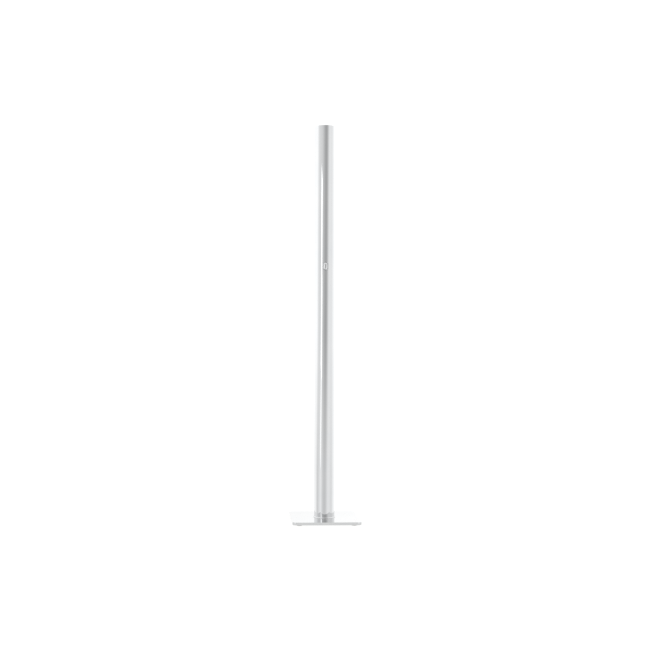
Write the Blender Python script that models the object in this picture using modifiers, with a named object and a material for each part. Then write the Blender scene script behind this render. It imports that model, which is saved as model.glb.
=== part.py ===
"""A floor-standing flag pole stand, modelled as the pieces that it is assembled from.

A polished tube column stands on a square foot plate with four glides. Its upper third is a socket:
the flag pole drops through a bush in the column's mouth, down a sleeve, and onto a rubber pad. A sprung
latch plate hooks the groove in the pole's ferrule, and a push-button in the column's front frees it.
Ballast discs on a threaded rod fill the column's foot.

Metres, +Z up. The origin is on the floor, on the column's axis, and the button faces -Y.
"""

import math
from collections import namedtuple

import bmesh
import bpy
from mathutils import Matrix, Vector

MM = 0.001
Screw = namedtuple("Screw", "radius length head_radius head_height countersunk")

# ---------------------------------------------------------------- driving dimensions
STAND_HEIGHT = 1750 * MM
GAP = 0.3 * MM  # left between two solids that touch

PLATE_SIDE = 300 * MM
PLATE_THICKNESS = 12 * MM
PLATE_CORNER_RADIUS = 20 * MM
PLATE_EDGE_BEVEL = 1 * MM

FOOT_HEIGHT = 5.5 * MM
FOOT_RADIUS = 13 * MM
FOOT_INSET = 31 * MM  # from the plate's edges to a foot's centre

COLUMN_RADIUS = 45 * MM
COLUMN_WALL = 2.5 * MM
COLUMN_RIM_CHAMFER = 0.8 * MM

RING_RADIUS = 48.5 * MM
RING_HEIGHT = 3.5 * MM

PLUG_THICKNESS = 25 * MM
PLUG_SCREW_CIRCLE = 27 * MM  # radius that the four screws stand on
BALLAST_DISC_RADIUS = 40 * MM
BALLAST_DISC_HEIGHT = 60 * MM
BALLAST_DISCS = 3
BALLAST_ROD_RADIUS = 6 * MM

POLE_BORE_RADIUS = 19.3 * MM  # takes a 38 mm flag pole
LATCH_HEIGHT = 1127 * MM  # the latch plate's middle, above the floor
LATCH_THICKNESS = 4 * MM
LATCH_HALF_WIDTH = 25.5 * MM
LATCH_FRONT = -30 * MM
LATCH_REAR = 27 * MM
BUTTON_TRAVEL = 3.5 * MM

HOUSING_RADIUS = 42 * MM
HOUSING_HALF_HEIGHT = 26 * MM
HOUSING_BORE_RADIUS = POLE_BORE_RADIUS + 0.3 * MM
SLEEVE_INNER_RADIUS = POLE_BORE_RADIUS + 0.5 * MM
SLEEVE_OUTER_RADIUS = SLEEVE_INNER_RADIUS + 2.2 * MM
SLEEVE_SEAT_DEPTH = 6 * MM
BUSH_HEIGHT = 32 * MM
BUSH_RECESS = 1.5 * MM  # the bush's face lies this far below the column's rim
STOP_DISC_THICKNESS = 10 * MM
STOP_PAD_THICKNESS = 4 * MM

BEZEL_WIDTH = 24 * MM
BEZEL_HEIGHT = 38 * MM
BEZEL_FRAME = 2.6 * MM
BEZEL_PROUD = 1.2 * MM
BUTTON_PROUD = 2.5 * MM

SPRING_WIRE_RADIUS = 0.4 * MM
SPRING_RADIUS = 2.85 * MM  # to the middle of the wire
SPRING_TURNS = 6
SPRING_OFFSET = 12 * MM  # each side of the middle

PLUG_SCREW = Screw(4 * MM, 26 * MM, 8 * MM, 4.4 * MM, True)
PLUG_SCREW_SUNK = 0.5 * MM  # its head lies this far inside the plate's underside
FOOT_SCREW = Screw(2.5 * MM, 12.5 * MM, 4.8 * MM, 2.3 * MM, False)
FOOT_SCREW_FACE = 0.8 * MM  # its head's face above the floor
SOCKET_SCREW = Screw(2 * MM, 13 * MM, 3.8 * MM, 2.1 * MM, True)
SOCKET_SCREW_SUNK = 0.3 * MM
SOCKET_SCREW_SPREAD = 14 * MM  # above and below the latch
HOUSING_SCREW = Screw(2 * MM, 56 * MM, 3.5 * MM, 3 * MM, False)
HOUSING_SCREW_PLACE = (33 * MM, 12 * MM)

# ---------------------------------------------------------------- levels that follow
PLATE_BOTTOM = FOOT_HEIGHT
PLATE_TOP = PLATE_BOTTOM + PLATE_THICKNESS
COLUMN_BOTTOM = PLATE_TOP + GAP
COLUMN_INNER_RADIUS = COLUMN_RADIUS - COLUMN_WALL
PLUG_TOP = COLUMN_BOTTOM + PLUG_THICKNESS
HOUSING_BOTTOM = LATCH_HEIGHT - HOUSING_HALF_HEIGHT
HOUSING_TOP = LATCH_HEIGHT + HOUSING_HALF_HEIGHT
STOP_DISC_TOP = HOUSING_BOTTOM - GAP
STOP_DISC_BOTTOM = STOP_DISC_TOP - STOP_DISC_THICKNESS
BUSH_TOP = STAND_HEIGHT - BUSH_RECESS
BUSH_BOTTOM = BUSH_TOP - BUSH_HEIGHT
SLEEVE_BOTTOM = HOUSING_TOP - SLEEVE_SEAT_DEPTH + GAP
SLEEVE_TOP = BUSH_BOTTOM + SLEEVE_SEAT_DEPTH - GAP
FOOT_OFFSET = PLATE_SIDE / 2 - FOOT_INSET
DRAIN_RADIUS = 3 * MM  # through the stop disc and its pad

FINE_STEPS = 64  # round the pieces that show
STEPS = 40
SMALL_STEPS = 16

PARTS = "flag_pole_stand"
CUTTERS = "cutters"


# ---------------------------------------------------------------- scene and materials
def clear_scene():
    for obj in list(bpy.data.objects):
        bpy.data.objects.remove(obj)
    for name in (PARTS, CUTTERS):
        collection = bpy.data.collections.new(name)
        bpy.context.scene.collection.children.link(collection)


def principled(name, colour, metallic, roughness):
    material = bpy.data.materials.new(name)
    material.use_nodes = True
    shader = material.node_tree.nodes["Principled BSDF"]
    shader.inputs["Base Color"].default_value = (*colour, 1)
    shader.inputs["Metallic"].default_value = metallic
    shader.inputs["Roughness"].default_value = roughness
    return material


def make_materials():
    return {
        "chrome": principled("polished_chrome", (0.80, 0.80, 0.81), 1, 0.12),
        "steel": principled("turned_steel", (0.55, 0.56, 0.57), 1, 0.35),
        "zinc": principled("zinc_plated_steel", (0.62, 0.63, 0.66), 1, 0.3),
        "aluminium": principled("drawn_aluminium", (0.75, 0.75, 0.76), 1, 0.4),
        "iron": principled("cast_iron", (0.10, 0.10, 0.11), 1, 0.7),
        "acetal": principled("black_acetal", (0.03, 0.03, 0.03), 0, 0.45),
        "rubber": principled("light_grey_rubber", (0.50, 0.50, 0.49), 0, 0.8),
    }


# ---------------------------------------------------------------- making shapes
def add_object(name, mesh, material=None, location=(0, 0, 0), turn=None):
    """Links a mesh as a part or, with no material, as a cutter. turn is a rotation matrix."""
    obj = bpy.data.objects.new(name, mesh)
    collection = PARTS if material else CUTTERS
    bpy.data.collections[collection].objects.link(obj)
    obj.matrix_world = Matrix.Translation(location) @ (turn or Matrix.Identity(4))
    if material:
        if not mesh.materials:
            mesh.materials.append(material)
    else:
        obj.hide_render = True
        obj.display_type = "WIRE"
    return obj


def mesh_from(name, bm):
    mesh = bpy.data.meshes.new(name)
    bm.to_mesh(mesh)
    bm.free()
    return mesh


def cylinder_mesh(name, radius, depth, steps=SMALL_STEPS, top_radius=None):
    """A cylinder, or a cone to top_radius, centred on the origin and standing along Z."""
    bm = bmesh.new()
    bmesh.ops.create_cone(
        bm,
        cap_ends=True,
        segments=steps,
        radius1=radius,
        radius2=radius if top_radius is None else top_radius,
        depth=depth,
    )
    return mesh_from(name, bm)


def block_mesh(name, size, corner=0, along=2, segments=6):
    """A block centred on the origin, its four edges along one axis rounded to the corner radius."""
    bm = bmesh.new()
    bmesh.ops.create_cube(bm, size=1)
    bmesh.ops.scale(bm, vec=size, verts=bm.verts)
    if corner:
        others = [axis for axis in range(3) if axis != along]
        edges = [
            edge
            for edge in bm.edges
            if all(abs(edge.verts[0].co[i] - edge.verts[1].co[i]) < GAP / 10 for i in others)
        ]
        bmesh.ops.bevel(
            bm,
            geom=edges,
            offset=corner,
            segments=segments,
            profile=0.5,
            affect="EDGES",
        )
    return mesh_from(name, bm)


def turned(name, profile, material, closed=True, steps=STEPS):
    """Turns (radius, height) points about Z, down the outside first. An open profile ends on the axis."""
    count = len(profile)
    edges = [(i, (i + 1) % count) for i in range(count if closed else count - 1)]
    mesh = bpy.data.meshes.new(name)
    mesh.from_pydata([(radius, 0, height) for radius, height in profile], edges, [])
    obj = add_object(name, mesh, material)
    screw = obj.modifiers.new("turn", "SCREW")
    screw.angle = 2 * math.pi
    screw.steps = steps
    screw.render_steps = steps
    screw.use_merge_vertices = True
    screw.merge_threshold = 0.00001
    screw.use_smooth_shade = True
    return obj


def ring_profile(inner, outer, bottom, top):
    """A plain ring's section, down the outside first."""
    return [(outer, top), (outer, bottom), (inner, bottom), (inner, top)]


def boolean(obj, other, operation="DIFFERENCE"):
    modifier = obj.modifiers.new(operation.lower(), "BOOLEAN")
    modifier.object = other
    modifier.operation = operation
    modifier.solver = "EXACT"


def bevel_edges(obj, width, segments=2, angle=40):
    bevel = obj.modifiers.new("bevel", "BEVEL")
    bevel.width = width
    bevel.segments = segments
    bevel.limit_method = "ANGLE"
    bevel.angle_limit = math.radians(angle)


def baked_mesh(obj):
    """The object's evaluated mesh as a plain one that copies can share. The object is removed."""
    bpy.context.view_layer.update()
    graph = bpy.context.evaluated_depsgraph_get()
    mesh = bpy.data.meshes.new_from_object(obj.evaluated_get(graph))
    mesh.name = obj.name
    bpy.data.objects.remove(obj)
    return mesh


def along(axis):
    """Turns a piece that stands along +Z so that it points along the axis."""
    return Vector((0, 0, 1)).rotation_difference(Vector(axis)).to_matrix().to_4x4()


def hole(obj, radius, depth, location, axis=(0, 0, 1), steps=SMALL_STEPS):
    """Cuts a round hole centred on the location. depth is its whole length."""
    name = f"{obj.name}_hole_{len(obj.modifiers)}"
    cutter = add_object(name, cylinder_mesh(name, radius, depth, steps), None, location, along(axis))
    boolean(obj, cutter)


# ---------------------------------------------------------------- fasteners
def screw_mesh(name, material, size):
    """A screw that hangs down from its head's flat face at the origin, with a hexagon socket."""
    head_depth = 0.2 * size.head_height if size.countersunk else size.head_height
    profile = [
        (0, 0),
        (size.head_radius, 0),
        (size.head_radius, -head_depth),
        (size.radius, -size.head_height),
        (size.radius, -size.length + 0.5 * size.radius),
        (0.6 * size.radius, -size.length),
        (0, -size.length),
    ]
    screw = turned(name, profile, material, closed=False, steps=SMALL_STEPS)
    socket_depth = 0.7 * size.head_height
    socket = cylinder_mesh(name + "_socket", 0.55 * size.head_radius, 2 * socket_depth, steps=6)
    boolean(screw, add_object(name + "_socket", socket))
    return baked_mesh(screw)


def place_screws(name, mesh, material, places, axis):
    """One screw at each place. axis points out of the heads."""
    for label, location in places.items():
        add_object(f"{name}_{label}", mesh, material, location, along(axis))


def countersink(obj, size, sunk, location, axis):
    """Opens a hole's mouth, at the location, to a cone that takes the screw's head. axis points out."""
    name = f"{obj.name}_countersink_{len(obj.modifiers)}"
    rim = size.head_radius + 0.2 * size.head_height + sunk + GAP
    depth = rim - size.radius
    cone = cylinder_mesh(name, size.radius, 2 * depth, top_radius=rim + depth)
    boolean(obj, add_object(name, cone, None, location, along(axis)))


# ---------------------------------------------------------------- base
def corners(x, y):
    """Names and centres of a rectangle's four corners, seen from the front."""
    return {
        f"{depth}_{side}": (x_sign * x, y_sign * y)
        for depth, y_sign in (("front", -1), ("rear", 1))
        for side, x_sign in (("left", -1), ("right", 1))
    }


def plug_screw_places():
    """The four screws stand on the plate's diagonals."""
    offset = PLUG_SCREW_CIRCLE / math.sqrt(2)
    return corners(offset, offset)


def make_base_plate(materials):
    size = (PLATE_SIDE, PLATE_SIDE, PLATE_THICKNESS)
    mesh = block_mesh("base_plate", size, PLATE_CORNER_RADIUS, along=2, segments=8)
    middle = PLATE_BOTTOM + PLATE_THICKNESS / 2
    plate = add_object("base_plate", mesh, materials["chrome"], (0, 0, middle))
    bevel_edges(plate, PLATE_EDGE_BEVEL)
    foot_hole_top = PLATE_BOTTOM + 8 * MM
    for x, y in corners(FOOT_OFFSET, FOOT_OFFSET).values():
        hole(plate, FOOT_SCREW.radius + GAP, 2 * (foot_hole_top - PLATE_BOTTOM), (x, y, PLATE_BOTTOM))
    for x, y in plug_screw_places().values():
        hole(plate, PLUG_SCREW.radius + GAP, 3 * PLATE_THICKNESS, (x, y, middle))
        countersink(plate, PLUG_SCREW, PLUG_SCREW_SUNK, (x, y, PLATE_BOTTOM), (0, 0, -1))


def make_feet(materials):
    head_seat = FOOT_SCREW_FACE + FOOT_SCREW.head_height + GAP
    top = FOOT_HEIGHT - GAP
    profile = [
        (FOOT_RADIUS - 1.5 * MM, top),
        (FOOT_RADIUS, top - 1.5 * MM),
        (FOOT_RADIUS, 1 * MM),
        (FOOT_RADIUS - 1 * MM, 0),
        (FOOT_SCREW.head_radius + 2 * GAP, 0),
        (FOOT_SCREW.head_radius + 2 * GAP, head_seat),
        (FOOT_SCREW.radius + GAP, head_seat),
        (FOOT_SCREW.radius + GAP, top),
    ]
    foot = baked_mesh(turned("foot_pad", profile, materials["rubber"], steps=20))
    screw = screw_mesh("foot_screw", materials["zinc"], FOOT_SCREW)
    for label, (x, y) in corners(FOOT_OFFSET, FOOT_OFFSET).items():
        add_object(f"foot_pad_{label}", foot, materials["rubber"], (x, y, 0))
        place = {label: (x, y, FOOT_SCREW_FACE)}
        place_screws("foot_screw", screw, materials["zinc"], place, (0, 0, -1))


def make_foot_ring(materials):
    """The trim ring that covers the joint between the column and the plate."""
    bottom = PLATE_TOP + GAP
    top = bottom + RING_HEIGHT
    inner = COLUMN_RADIUS + GAP
    crown = 2 * MM
    arc = [math.radians(90 - 90 * i / 3) for i in range(4)]
    profile = [(RING_RADIUS - crown + crown * math.cos(a), top - crown + crown * math.sin(a)) for a in arc]
    profile += [(RING_RADIUS, bottom), (inner, bottom), (inner, top)]
    turned("foot_ring", profile, materials["chrome"], steps=FINE_STEPS)


def make_column_plug(materials):
    """The steel disc fixed in the column's foot. The plate's screws pull it down."""
    radius = COLUMN_INNER_RADIUS - GAP
    profile = [
        (radius, PLUG_TOP),
        (radius, COLUMN_BOTTOM),
        (BALLAST_ROD_RADIUS + GAP, COLUMN_BOTTOM),
        (BALLAST_ROD_RADIUS + GAP, PLUG_TOP),
    ]
    plug = turned("column_plug", profile, materials["steel"])
    screw_hole_top = PLATE_BOTTOM + PLUG_SCREW_SUNK + PLUG_SCREW.length + 2 * MM
    for x, y in plug_screw_places().values():
        depth = 2 * (screw_hole_top - COLUMN_BOTTOM)
        hole(plug, PLUG_SCREW.radius + GAP, depth, (x, y, COLUMN_BOTTOM))
    screw = screw_mesh("plug_screw", materials["zinc"], PLUG_SCREW)
    face = PLATE_BOTTOM + PLUG_SCREW_SUNK
    places = {label: (x, y, face) for label, (x, y) in plug_screw_places().items()}
    place_screws("plug_screw", screw, materials["zinc"], places, (0, 0, -1))


def make_ballast(materials):
    """Three iron discs on a rod screwed into the plug, held down by a washer and a nut."""
    bore = BALLAST_ROD_RADIUS + 1 * MM
    edge = 2 * MM
    level = PLUG_TOP + GAP
    for number in range(1, BALLAST_DISCS + 1):
        top = level + BALLAST_DISC_HEIGHT
        profile = [
            (BALLAST_DISC_RADIUS - edge, top),
            (BALLAST_DISC_RADIUS, top - edge),
            (BALLAST_DISC_RADIUS, level + edge),
            (BALLAST_DISC_RADIUS - edge, level),
            (bore, level),
            (bore, top),
        ]
        turned(f"ballast_disc_{number}", profile, materials["iron"], steps=28)
        level = top + GAP
    washer_top = level + 3 * MM
    washer = ring_profile(BALLAST_ROD_RADIUS + GAP, 15 * MM, level, washer_top)
    turned("ballast_washer", washer, materials["zinc"], steps=SMALL_STEPS)
    nut_height = 10 * MM
    nut_middle = washer_top + GAP + nut_height / 2
    nut_radius = 10.9 * MM  # 19 mm across the flats
    mesh = cylinder_mesh("ballast_nut", nut_radius, nut_height, steps=6)
    nut = add_object("ballast_nut", mesh, materials["zinc"], (0, 0, nut_middle))
    hole(nut, BALLAST_ROD_RADIUS + GAP, 2 * nut_height, (0, 0, nut_middle))
    rod_bottom = COLUMN_BOTTOM + 2 * MM
    rod_top = nut_middle + nut_height / 2 + 8 * MM
    tip = 1.5 * MM
    profile = [
        (0, rod_top),
        (BALLAST_ROD_RADIUS - tip, rod_top),
        (BALLAST_ROD_RADIUS, rod_top - tip),
        (BALLAST_ROD_RADIUS, rod_bottom),
        (0, rod_bottom),
    ]
    turned("ballast_rod", profile, materials["zinc"], closed=False, steps=SMALL_STEPS)


# ---------------------------------------------------------------- column
def socket_screw_levels():
    """The screws that hold the socket's pieces from behind, each with its height."""
    return {
        "lower": LATCH_HEIGHT - SOCKET_SCREW_SPREAD,
        "upper": LATCH_HEIGHT + SOCKET_SCREW_SPREAD,
        "bush": (BUSH_BOTTOM + BUSH_TOP) / 2,
    }


def stadium_cutter(name, width, height, front, back):
    """An upright opening with round ends, cut along Y between front and back."""
    depth = back - front
    corner = 0.49 * width
    mesh = block_mesh(name, (width, depth, height), corner, along=1, segments=8)
    return add_object(name, mesh, None, (0, (front + back) / 2, LATCH_HEIGHT))


def make_column(materials):
    rim = COLUMN_RIM_CHAMFER
    profile = [
        (COLUMN_RADIUS - rim, STAND_HEIGHT),
        (COLUMN_RADIUS, STAND_HEIGHT - rim),
        (COLUMN_RADIUS, COLUMN_BOTTOM),
        (COLUMN_INNER_RADIUS, COLUMN_BOTTOM),
        (COLUMN_INNER_RADIUS, STAND_HEIGHT),
    ]
    column = turned("column_tube", profile, materials["chrome"], steps=FINE_STEPS)
    window = stadium_cutter(
        "bezel_window",
        BEZEL_WIDTH + 2 * GAP,
        BEZEL_HEIGHT + 2 * GAP,
        -1.2 * COLUMN_RADIUS,
        -0.5 * COLUMN_RADIUS,
    )
    boolean(column, window)
    for level in socket_screw_levels().values():  # the cones go right through the thin wall
        countersink(column, SOCKET_SCREW, SOCKET_SCREW_SUNK, (0, COLUMN_RADIUS, level), (0, 1, 0))


def make_socket_screws(materials):
    screw = screw_mesh("socket_screw", materials["zinc"], SOCKET_SCREW)
    face = COLUMN_RADIUS - SOCKET_SCREW_SUNK
    places = {label: (0, face, level) for label, level in socket_screw_levels().items()}
    place_screws("socket_screw", screw, materials["zinc"], places, (0, 1, 0))


def socket_screw_hole(obj, label):
    """The blind hole that one of those screws bites into."""
    tip = COLUMN_RADIUS - SOCKET_SCREW_SUNK - SOCKET_SCREW.length - 1 * MM
    place = (0, (tip + COLUMN_RADIUS) / 2, socket_screw_levels()[label])
    hole(obj, SOCKET_SCREW.radius + GAP, COLUMN_RADIUS - tip, place, (0, 1, 0))


# ---------------------------------------------------------------- socket
def make_top_bush(materials):
    """The bush in the column's mouth. Its funnel leads the pole in, and it seats the sleeve's top."""
    funnel = 5 * MM
    outer = COLUMN_INNER_RADIUS - GAP
    seat = SLEEVE_OUTER_RADIUS + GAP
    profile = [
        (outer, BUSH_TOP),
        (outer, BUSH_BOTTOM),
        (seat, BUSH_BOTTOM),
        (seat, BUSH_BOTTOM + SLEEVE_SEAT_DEPTH),
        (POLE_BORE_RADIUS, BUSH_BOTTOM + SLEEVE_SEAT_DEPTH),
        (POLE_BORE_RADIUS, BUSH_TOP - funnel),
        (POLE_BORE_RADIUS + 0.35 * funnel, BUSH_TOP - 0.4 * funnel),
        (POLE_BORE_RADIUS + funnel, BUSH_TOP),
    ]
    bush = turned("top_bush", profile, materials["acetal"], steps=FINE_STEPS)
    socket_screw_hole(bush, "bush")


def make_sleeve(materials):
    section = ring_profile(SLEEVE_INNER_RADIUS, SLEEVE_OUTER_RADIUS, SLEEVE_BOTTOM, SLEEVE_TOP)
    turned("pole_sleeve", section, materials["aluminium"], steps=STEPS)


def latch_recess_cutter():
    """The flat space in which the latch plate slides, half of it in each half of the housing."""
    clearance = 0.4 * MM
    front = LATCH_FRONT - 3.4 * MM
    rear = LATCH_REAR + BUTTON_TRAVEL + 0.5 * MM
    size = (2 * (LATCH_HALF_WIDTH + clearance), rear - front, LATCH_THICKNESS + 2 * GAP)
    mesh = block_mesh("latch_recess", size, 5 * MM)
    return add_object("latch_recess", mesh, None, (0, (front + rear) / 2, LATCH_HEIGHT))


def spring_pocket_cutters():
    """Two round pockets behind the latch plate."""
    front, rear = LATCH_REAR - 0.5 * MM, SPRING_REAR + GAP
    radius = SPRING_RADIUS + SPRING_WIRE_RADIUS + 0.35 * MM
    for side, x in (("left", -SPRING_OFFSET), ("right", SPRING_OFFSET)):
        name = f"spring_pocket_{side}"
        mesh = cylinder_mesh(name, radius, rear - front)
        yield add_object(name, mesh, None, (x, (front + rear) / 2, LATCH_HEIGHT), along((0, 1, 0)))


# The button, from its dome at the front to its stem at the back, along Y.
FLANGE_FRONT = -40.7 * MM
FLANGE_BACK = -38.7 * MM
STEM_BACK = -31 * MM
STEM_HALF_WIDTH = 7 * MM
STEM_HALF_HEIGHT = 5 * MM
TONGUE_HALF_WIDTH = 6 * MM
TONGUE_FRONT = -37 * MM
PIN_Y = -34 * MM
PIN_RADIUS = 1.2 * MM
SPRING_REAR = 37.5 * MM
FLANGE_OVERHANG = 1.7 * MM  # the flange is this much wider all round than the dome
BUTTON_WIDTH = BEZEL_WIDTH - 2 * BEZEL_FRAME - 2 * GAP
BUTTON_HEIGHT = BEZEL_HEIGHT - 2 * BEZEL_FRAME - 2 * GAP


def button_pocket_cutters():
    """Room behind the window for the button's flange, then a channel for its stem."""
    clearance = 0.5 * MM
    floor = FLANGE_BACK + BUTTON_TRAVEL + GAP
    flange_room = stadium_cutter(
        "flange_room",
        BUTTON_WIDTH + 2 * (FLANGE_OVERHANG + clearance),
        BUTTON_HEIGHT + 2 * (FLANGE_OVERHANG + clearance),
        -1.2 * COLUMN_RADIUS,
        floor,
    )
    front, back = floor - 1 * MM, STEM_BACK + BUTTON_TRAVEL + 0.7 * MM
    size = (2 * (STEM_HALF_WIDTH + clearance), back - front, 2 * (STEM_HALF_HEIGHT + clearance))
    mesh = block_mesh("stem_channel", size)
    return flange_room, add_object("stem_channel", mesh, None, (0, (front + back) / 2, LATCH_HEIGHT))


def make_housing(materials):
    """The catch's housing, split at the latch plate's middle so that the plate can be laid in."""
    split = GAP / 2
    seat = SLEEVE_OUTER_RADIUS + GAP
    lower_profile = ring_profile(
        HOUSING_BORE_RADIUS, HOUSING_RADIUS, HOUSING_BOTTOM, LATCH_HEIGHT - split
    )
    upper_profile = [
        (HOUSING_RADIUS, HOUSING_TOP),
        (HOUSING_RADIUS, LATCH_HEIGHT + split),
        (HOUSING_BORE_RADIUS, LATCH_HEIGHT + split),
        (HOUSING_BORE_RADIUS, HOUSING_TOP - SLEEVE_SEAT_DEPTH),
        (seat, HOUSING_TOP - SLEEVE_SEAT_DEPTH),
        (seat, HOUSING_TOP),
    ]
    cutters = [latch_recess_cutter(), *spring_pocket_cutters(), *button_pocket_cutters()]
    for label, profile in (("lower", lower_profile), ("upper", upper_profile)):
        half = turned(f"catch_housing_{label}", profile, materials["acetal"])
        for cutter in cutters:
            boolean(half, cutter)
        socket_screw_hole(half, label)
        hole_top = STOP_DISC_BOTTOM + HOUSING_SCREW.length
        hole_bottom = HOUSING_BOTTOM - 5 * MM
        middle = (hole_top + hole_bottom) / 2
        for x, y in corners(*HOUSING_SCREW_PLACE).values():
            hole(half, HOUSING_SCREW.radius + GAP, hole_top - hole_bottom, (x, y, middle), steps=16)


def make_latch_plate(materials):
    """A sprung plate with a hole: its rear edge hooks the pole, and its front tongue holds the button."""
    depth = LATCH_REAR - LATCH_FRONT
    middle = (LATCH_REAR + LATCH_FRONT) / 2
    size = (2 * LATCH_HALF_WIDTH, depth, LATCH_THICKNESS)
    mesh = block_mesh("latch_plate", size, 5 * MM)
    plate = add_object("latch_plate", mesh, materials["steel"], (0, middle, LATCH_HEIGHT))
    overlap = 2 * MM
    tongue_back = LATCH_FRONT + overlap
    tongue_size = (2 * TONGUE_HALF_WIDTH, tongue_back - TONGUE_FRONT, LATCH_THICKNESS)
    tongue_middle = (0, (tongue_back + TONGUE_FRONT) / 2, LATCH_HEIGHT)
    boolean(plate, add_object("tongue", block_mesh("tongue", tongue_size), None, tongue_middle), "UNION")
    peg_length = 3 * MM + overlap
    for side, x in (("left", -SPRING_OFFSET), ("right", SPRING_OFFSET)):
        name = f"spring_peg_{side}"
        place = (x, LATCH_REAR - overlap + peg_length / 2, LATCH_HEIGHT)
        peg = cylinder_mesh(name, 1.7 * MM, peg_length, steps=12)
        boolean(plate, add_object(name, peg, None, place, along((0, 1, 0))), "UNION")
    hole_y = -BUTTON_TRAVEL  # pressing the button brings the hole in line with the pole
    hole_radius = POLE_BORE_RADIUS + 0.5 * MM
    hole(plate, hole_radius, 4 * LATCH_THICKNESS, (0, hole_y, LATCH_HEIGHT), steps=STEPS)
    lead = 2 * MM  # a slope on the hole's upper edge, so that a falling pole pushes the latch back
    name = "latch_lead_in"
    cone = cylinder_mesh(name, hole_radius - lead, 4 * lead, STEPS, top_radius=hole_radius + 3 * lead)
    top = LATCH_HEIGHT + LATCH_THICKNESS / 2
    boolean(plate, add_object(name, cone, None, (0, hole_y, top)))
    hole(plate, PIN_RADIUS + GAP, 4 * LATCH_THICKNESS, (0, PIN_Y, LATCH_HEIGHT), steps=12)


def make_button(materials):
    """A pillow-shaped cap with a flange that the bezel traps, and a forked stem behind."""
    back = (FLANGE_FRONT + FLANGE_BACK) / 2
    front = -COLUMN_RADIUS - 2 * BUTTON_PROUD
    size = (BUTTON_WIDTH, back - front, BUTTON_HEIGHT)
    mesh = block_mesh("push_button", size, 0.49 * BUTTON_WIDTH, along=1, segments=8)
    place = (0, (front + back) / 2, LATCH_HEIGHT)
    button = add_object("push_button", mesh, materials["chrome"], place)
    bm = bmesh.new()
    bmesh.ops.create_uvsphere(bm, u_segments=36, v_segments=20, radius=1)
    dome_depth = 8 * MM
    bmesh.ops.scale(bm, vec=(12 * MM, dome_depth, 22 * MM), verts=bm.verts)
    dome_y = -COLUMN_RADIUS - BUTTON_PROUD + dome_depth
    dome = add_object("button_dome", mesh_from("button_dome", bm), None, (0, dome_y, LATCH_HEIGHT))
    boolean(button, dome, "INTERSECT")
    flange = stadium_cutter(
        "button_flange",
        BUTTON_WIDTH + 2 * FLANGE_OVERHANG,
        BUTTON_HEIGHT + 2 * FLANGE_OVERHANG,
        FLANGE_FRONT,
        FLANGE_BACK,
    )
    boolean(button, flange, "UNION")
    stem_size = (2 * STEM_HALF_WIDTH, STEM_BACK - back, 2 * STEM_HALF_HEIGHT)
    stem_middle = (0, (STEM_BACK + back) / 2, LATCH_HEIGHT)
    boolean(button, add_object("stem", block_mesh("stem", stem_size), None, stem_middle), "UNION")
    slot_front, slot_back = TONGUE_FRONT - GAP, STEM_BACK + 5 * MM
    slot_size = (4 * STEM_HALF_WIDTH, slot_back - slot_front, LATCH_THICKNESS + 2 * GAP)
    slot_middle = (0, (slot_front + slot_back) / 2, LATCH_HEIGHT)
    boolean(button, add_object("stem_slot", block_mesh("stem_slot", slot_size), None, slot_middle))
    hole(button, PIN_RADIUS + GAP, 4 * STEM_HALF_HEIGHT, (0, PIN_Y, LATCH_HEIGHT), steps=12)
    pin = cylinder_mesh("button_pin", PIN_RADIUS, 2 * STEM_HALF_HEIGHT, steps=12)
    add_object("button_pin", pin, materials["steel"], (0, PIN_Y, LATCH_HEIGHT))


def make_bezel(materials):
    """The frame round the button: a stadium ring that is bent to the column's curve."""
    inner, outer = COLUMN_INNER_RADIUS - 0.1 * MM, COLUMN_RADIUS + BEZEL_PROUD
    half = 0.8 * BEZEL_HEIGHT
    section = ring_profile(inner, outer, LATCH_HEIGHT - half, LATCH_HEIGHT + half)
    bezel = turned("button_bezel", section, materials["chrome"], steps=2 * FINE_STEPS)
    reach = (-1.2 * COLUMN_RADIUS, -0.5 * COLUMN_RADIUS)
    outline = stadium_cutter("bezel_outline", BEZEL_WIDTH, BEZEL_HEIGHT, *reach)
    boolean(bezel, outline, "INTERSECT")
    opening = (BEZEL_WIDTH - 2 * BEZEL_FRAME, BEZEL_HEIGHT - 2 * BEZEL_FRAME)
    boolean(bezel, stadium_cutter("bezel_opening", *opening, *reach))


def make_springs(materials):
    """Two compression springs between the latch plate and the housing, their end turns closed."""
    front = LATCH_REAR + GAP + SPRING_WIRE_RADIUS
    rear = SPRING_REAR - SPRING_WIRE_RADIUS
    points_per_turn = 12
    count = SPRING_TURNS * points_per_turn
    closed_share = 1 / SPRING_TURNS  # one closed turn at each end
    closed_rise = 2.1 * SPRING_WIRE_RADIUS / (rear - front)
    for side, x in (("left", -SPRING_OFFSET), ("right", SPRING_OFFSET)):
        curve = bpy.data.curves.new(f"catch_spring_{side}", "CURVE")
        curve.dimensions = "3D"
        curve.bevel_depth = SPRING_WIRE_RADIUS
        curve.bevel_resolution = 1
        curve.use_fill_caps = True
        spline = curve.splines.new("POLY")
        spline.points.add(count)
        for i, point in enumerate(spline.points):
            share = i / count
            if share < closed_share:
                rise = closed_rise * share / closed_share
            elif share > 1 - closed_share:
                rise = 1 - closed_rise * (1 - share) / closed_share
            else:
                open_share = (share - closed_share) / (1 - 2 * closed_share)
                rise = closed_rise + open_share * (1 - 2 * closed_rise)
            angle = 2 * math.pi * i / points_per_turn
            point.co = (
                x + SPRING_RADIUS * math.cos(angle),
                front + rise * (rear - front),
                LATCH_HEIGHT + SPRING_RADIUS * math.sin(angle),
                1,
            )
        curve.materials.append(materials["zinc"])
        spring = bpy.data.objects.new(f"catch_spring_{side}", curve)
        bpy.data.collections[PARTS].objects.link(spring)


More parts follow.
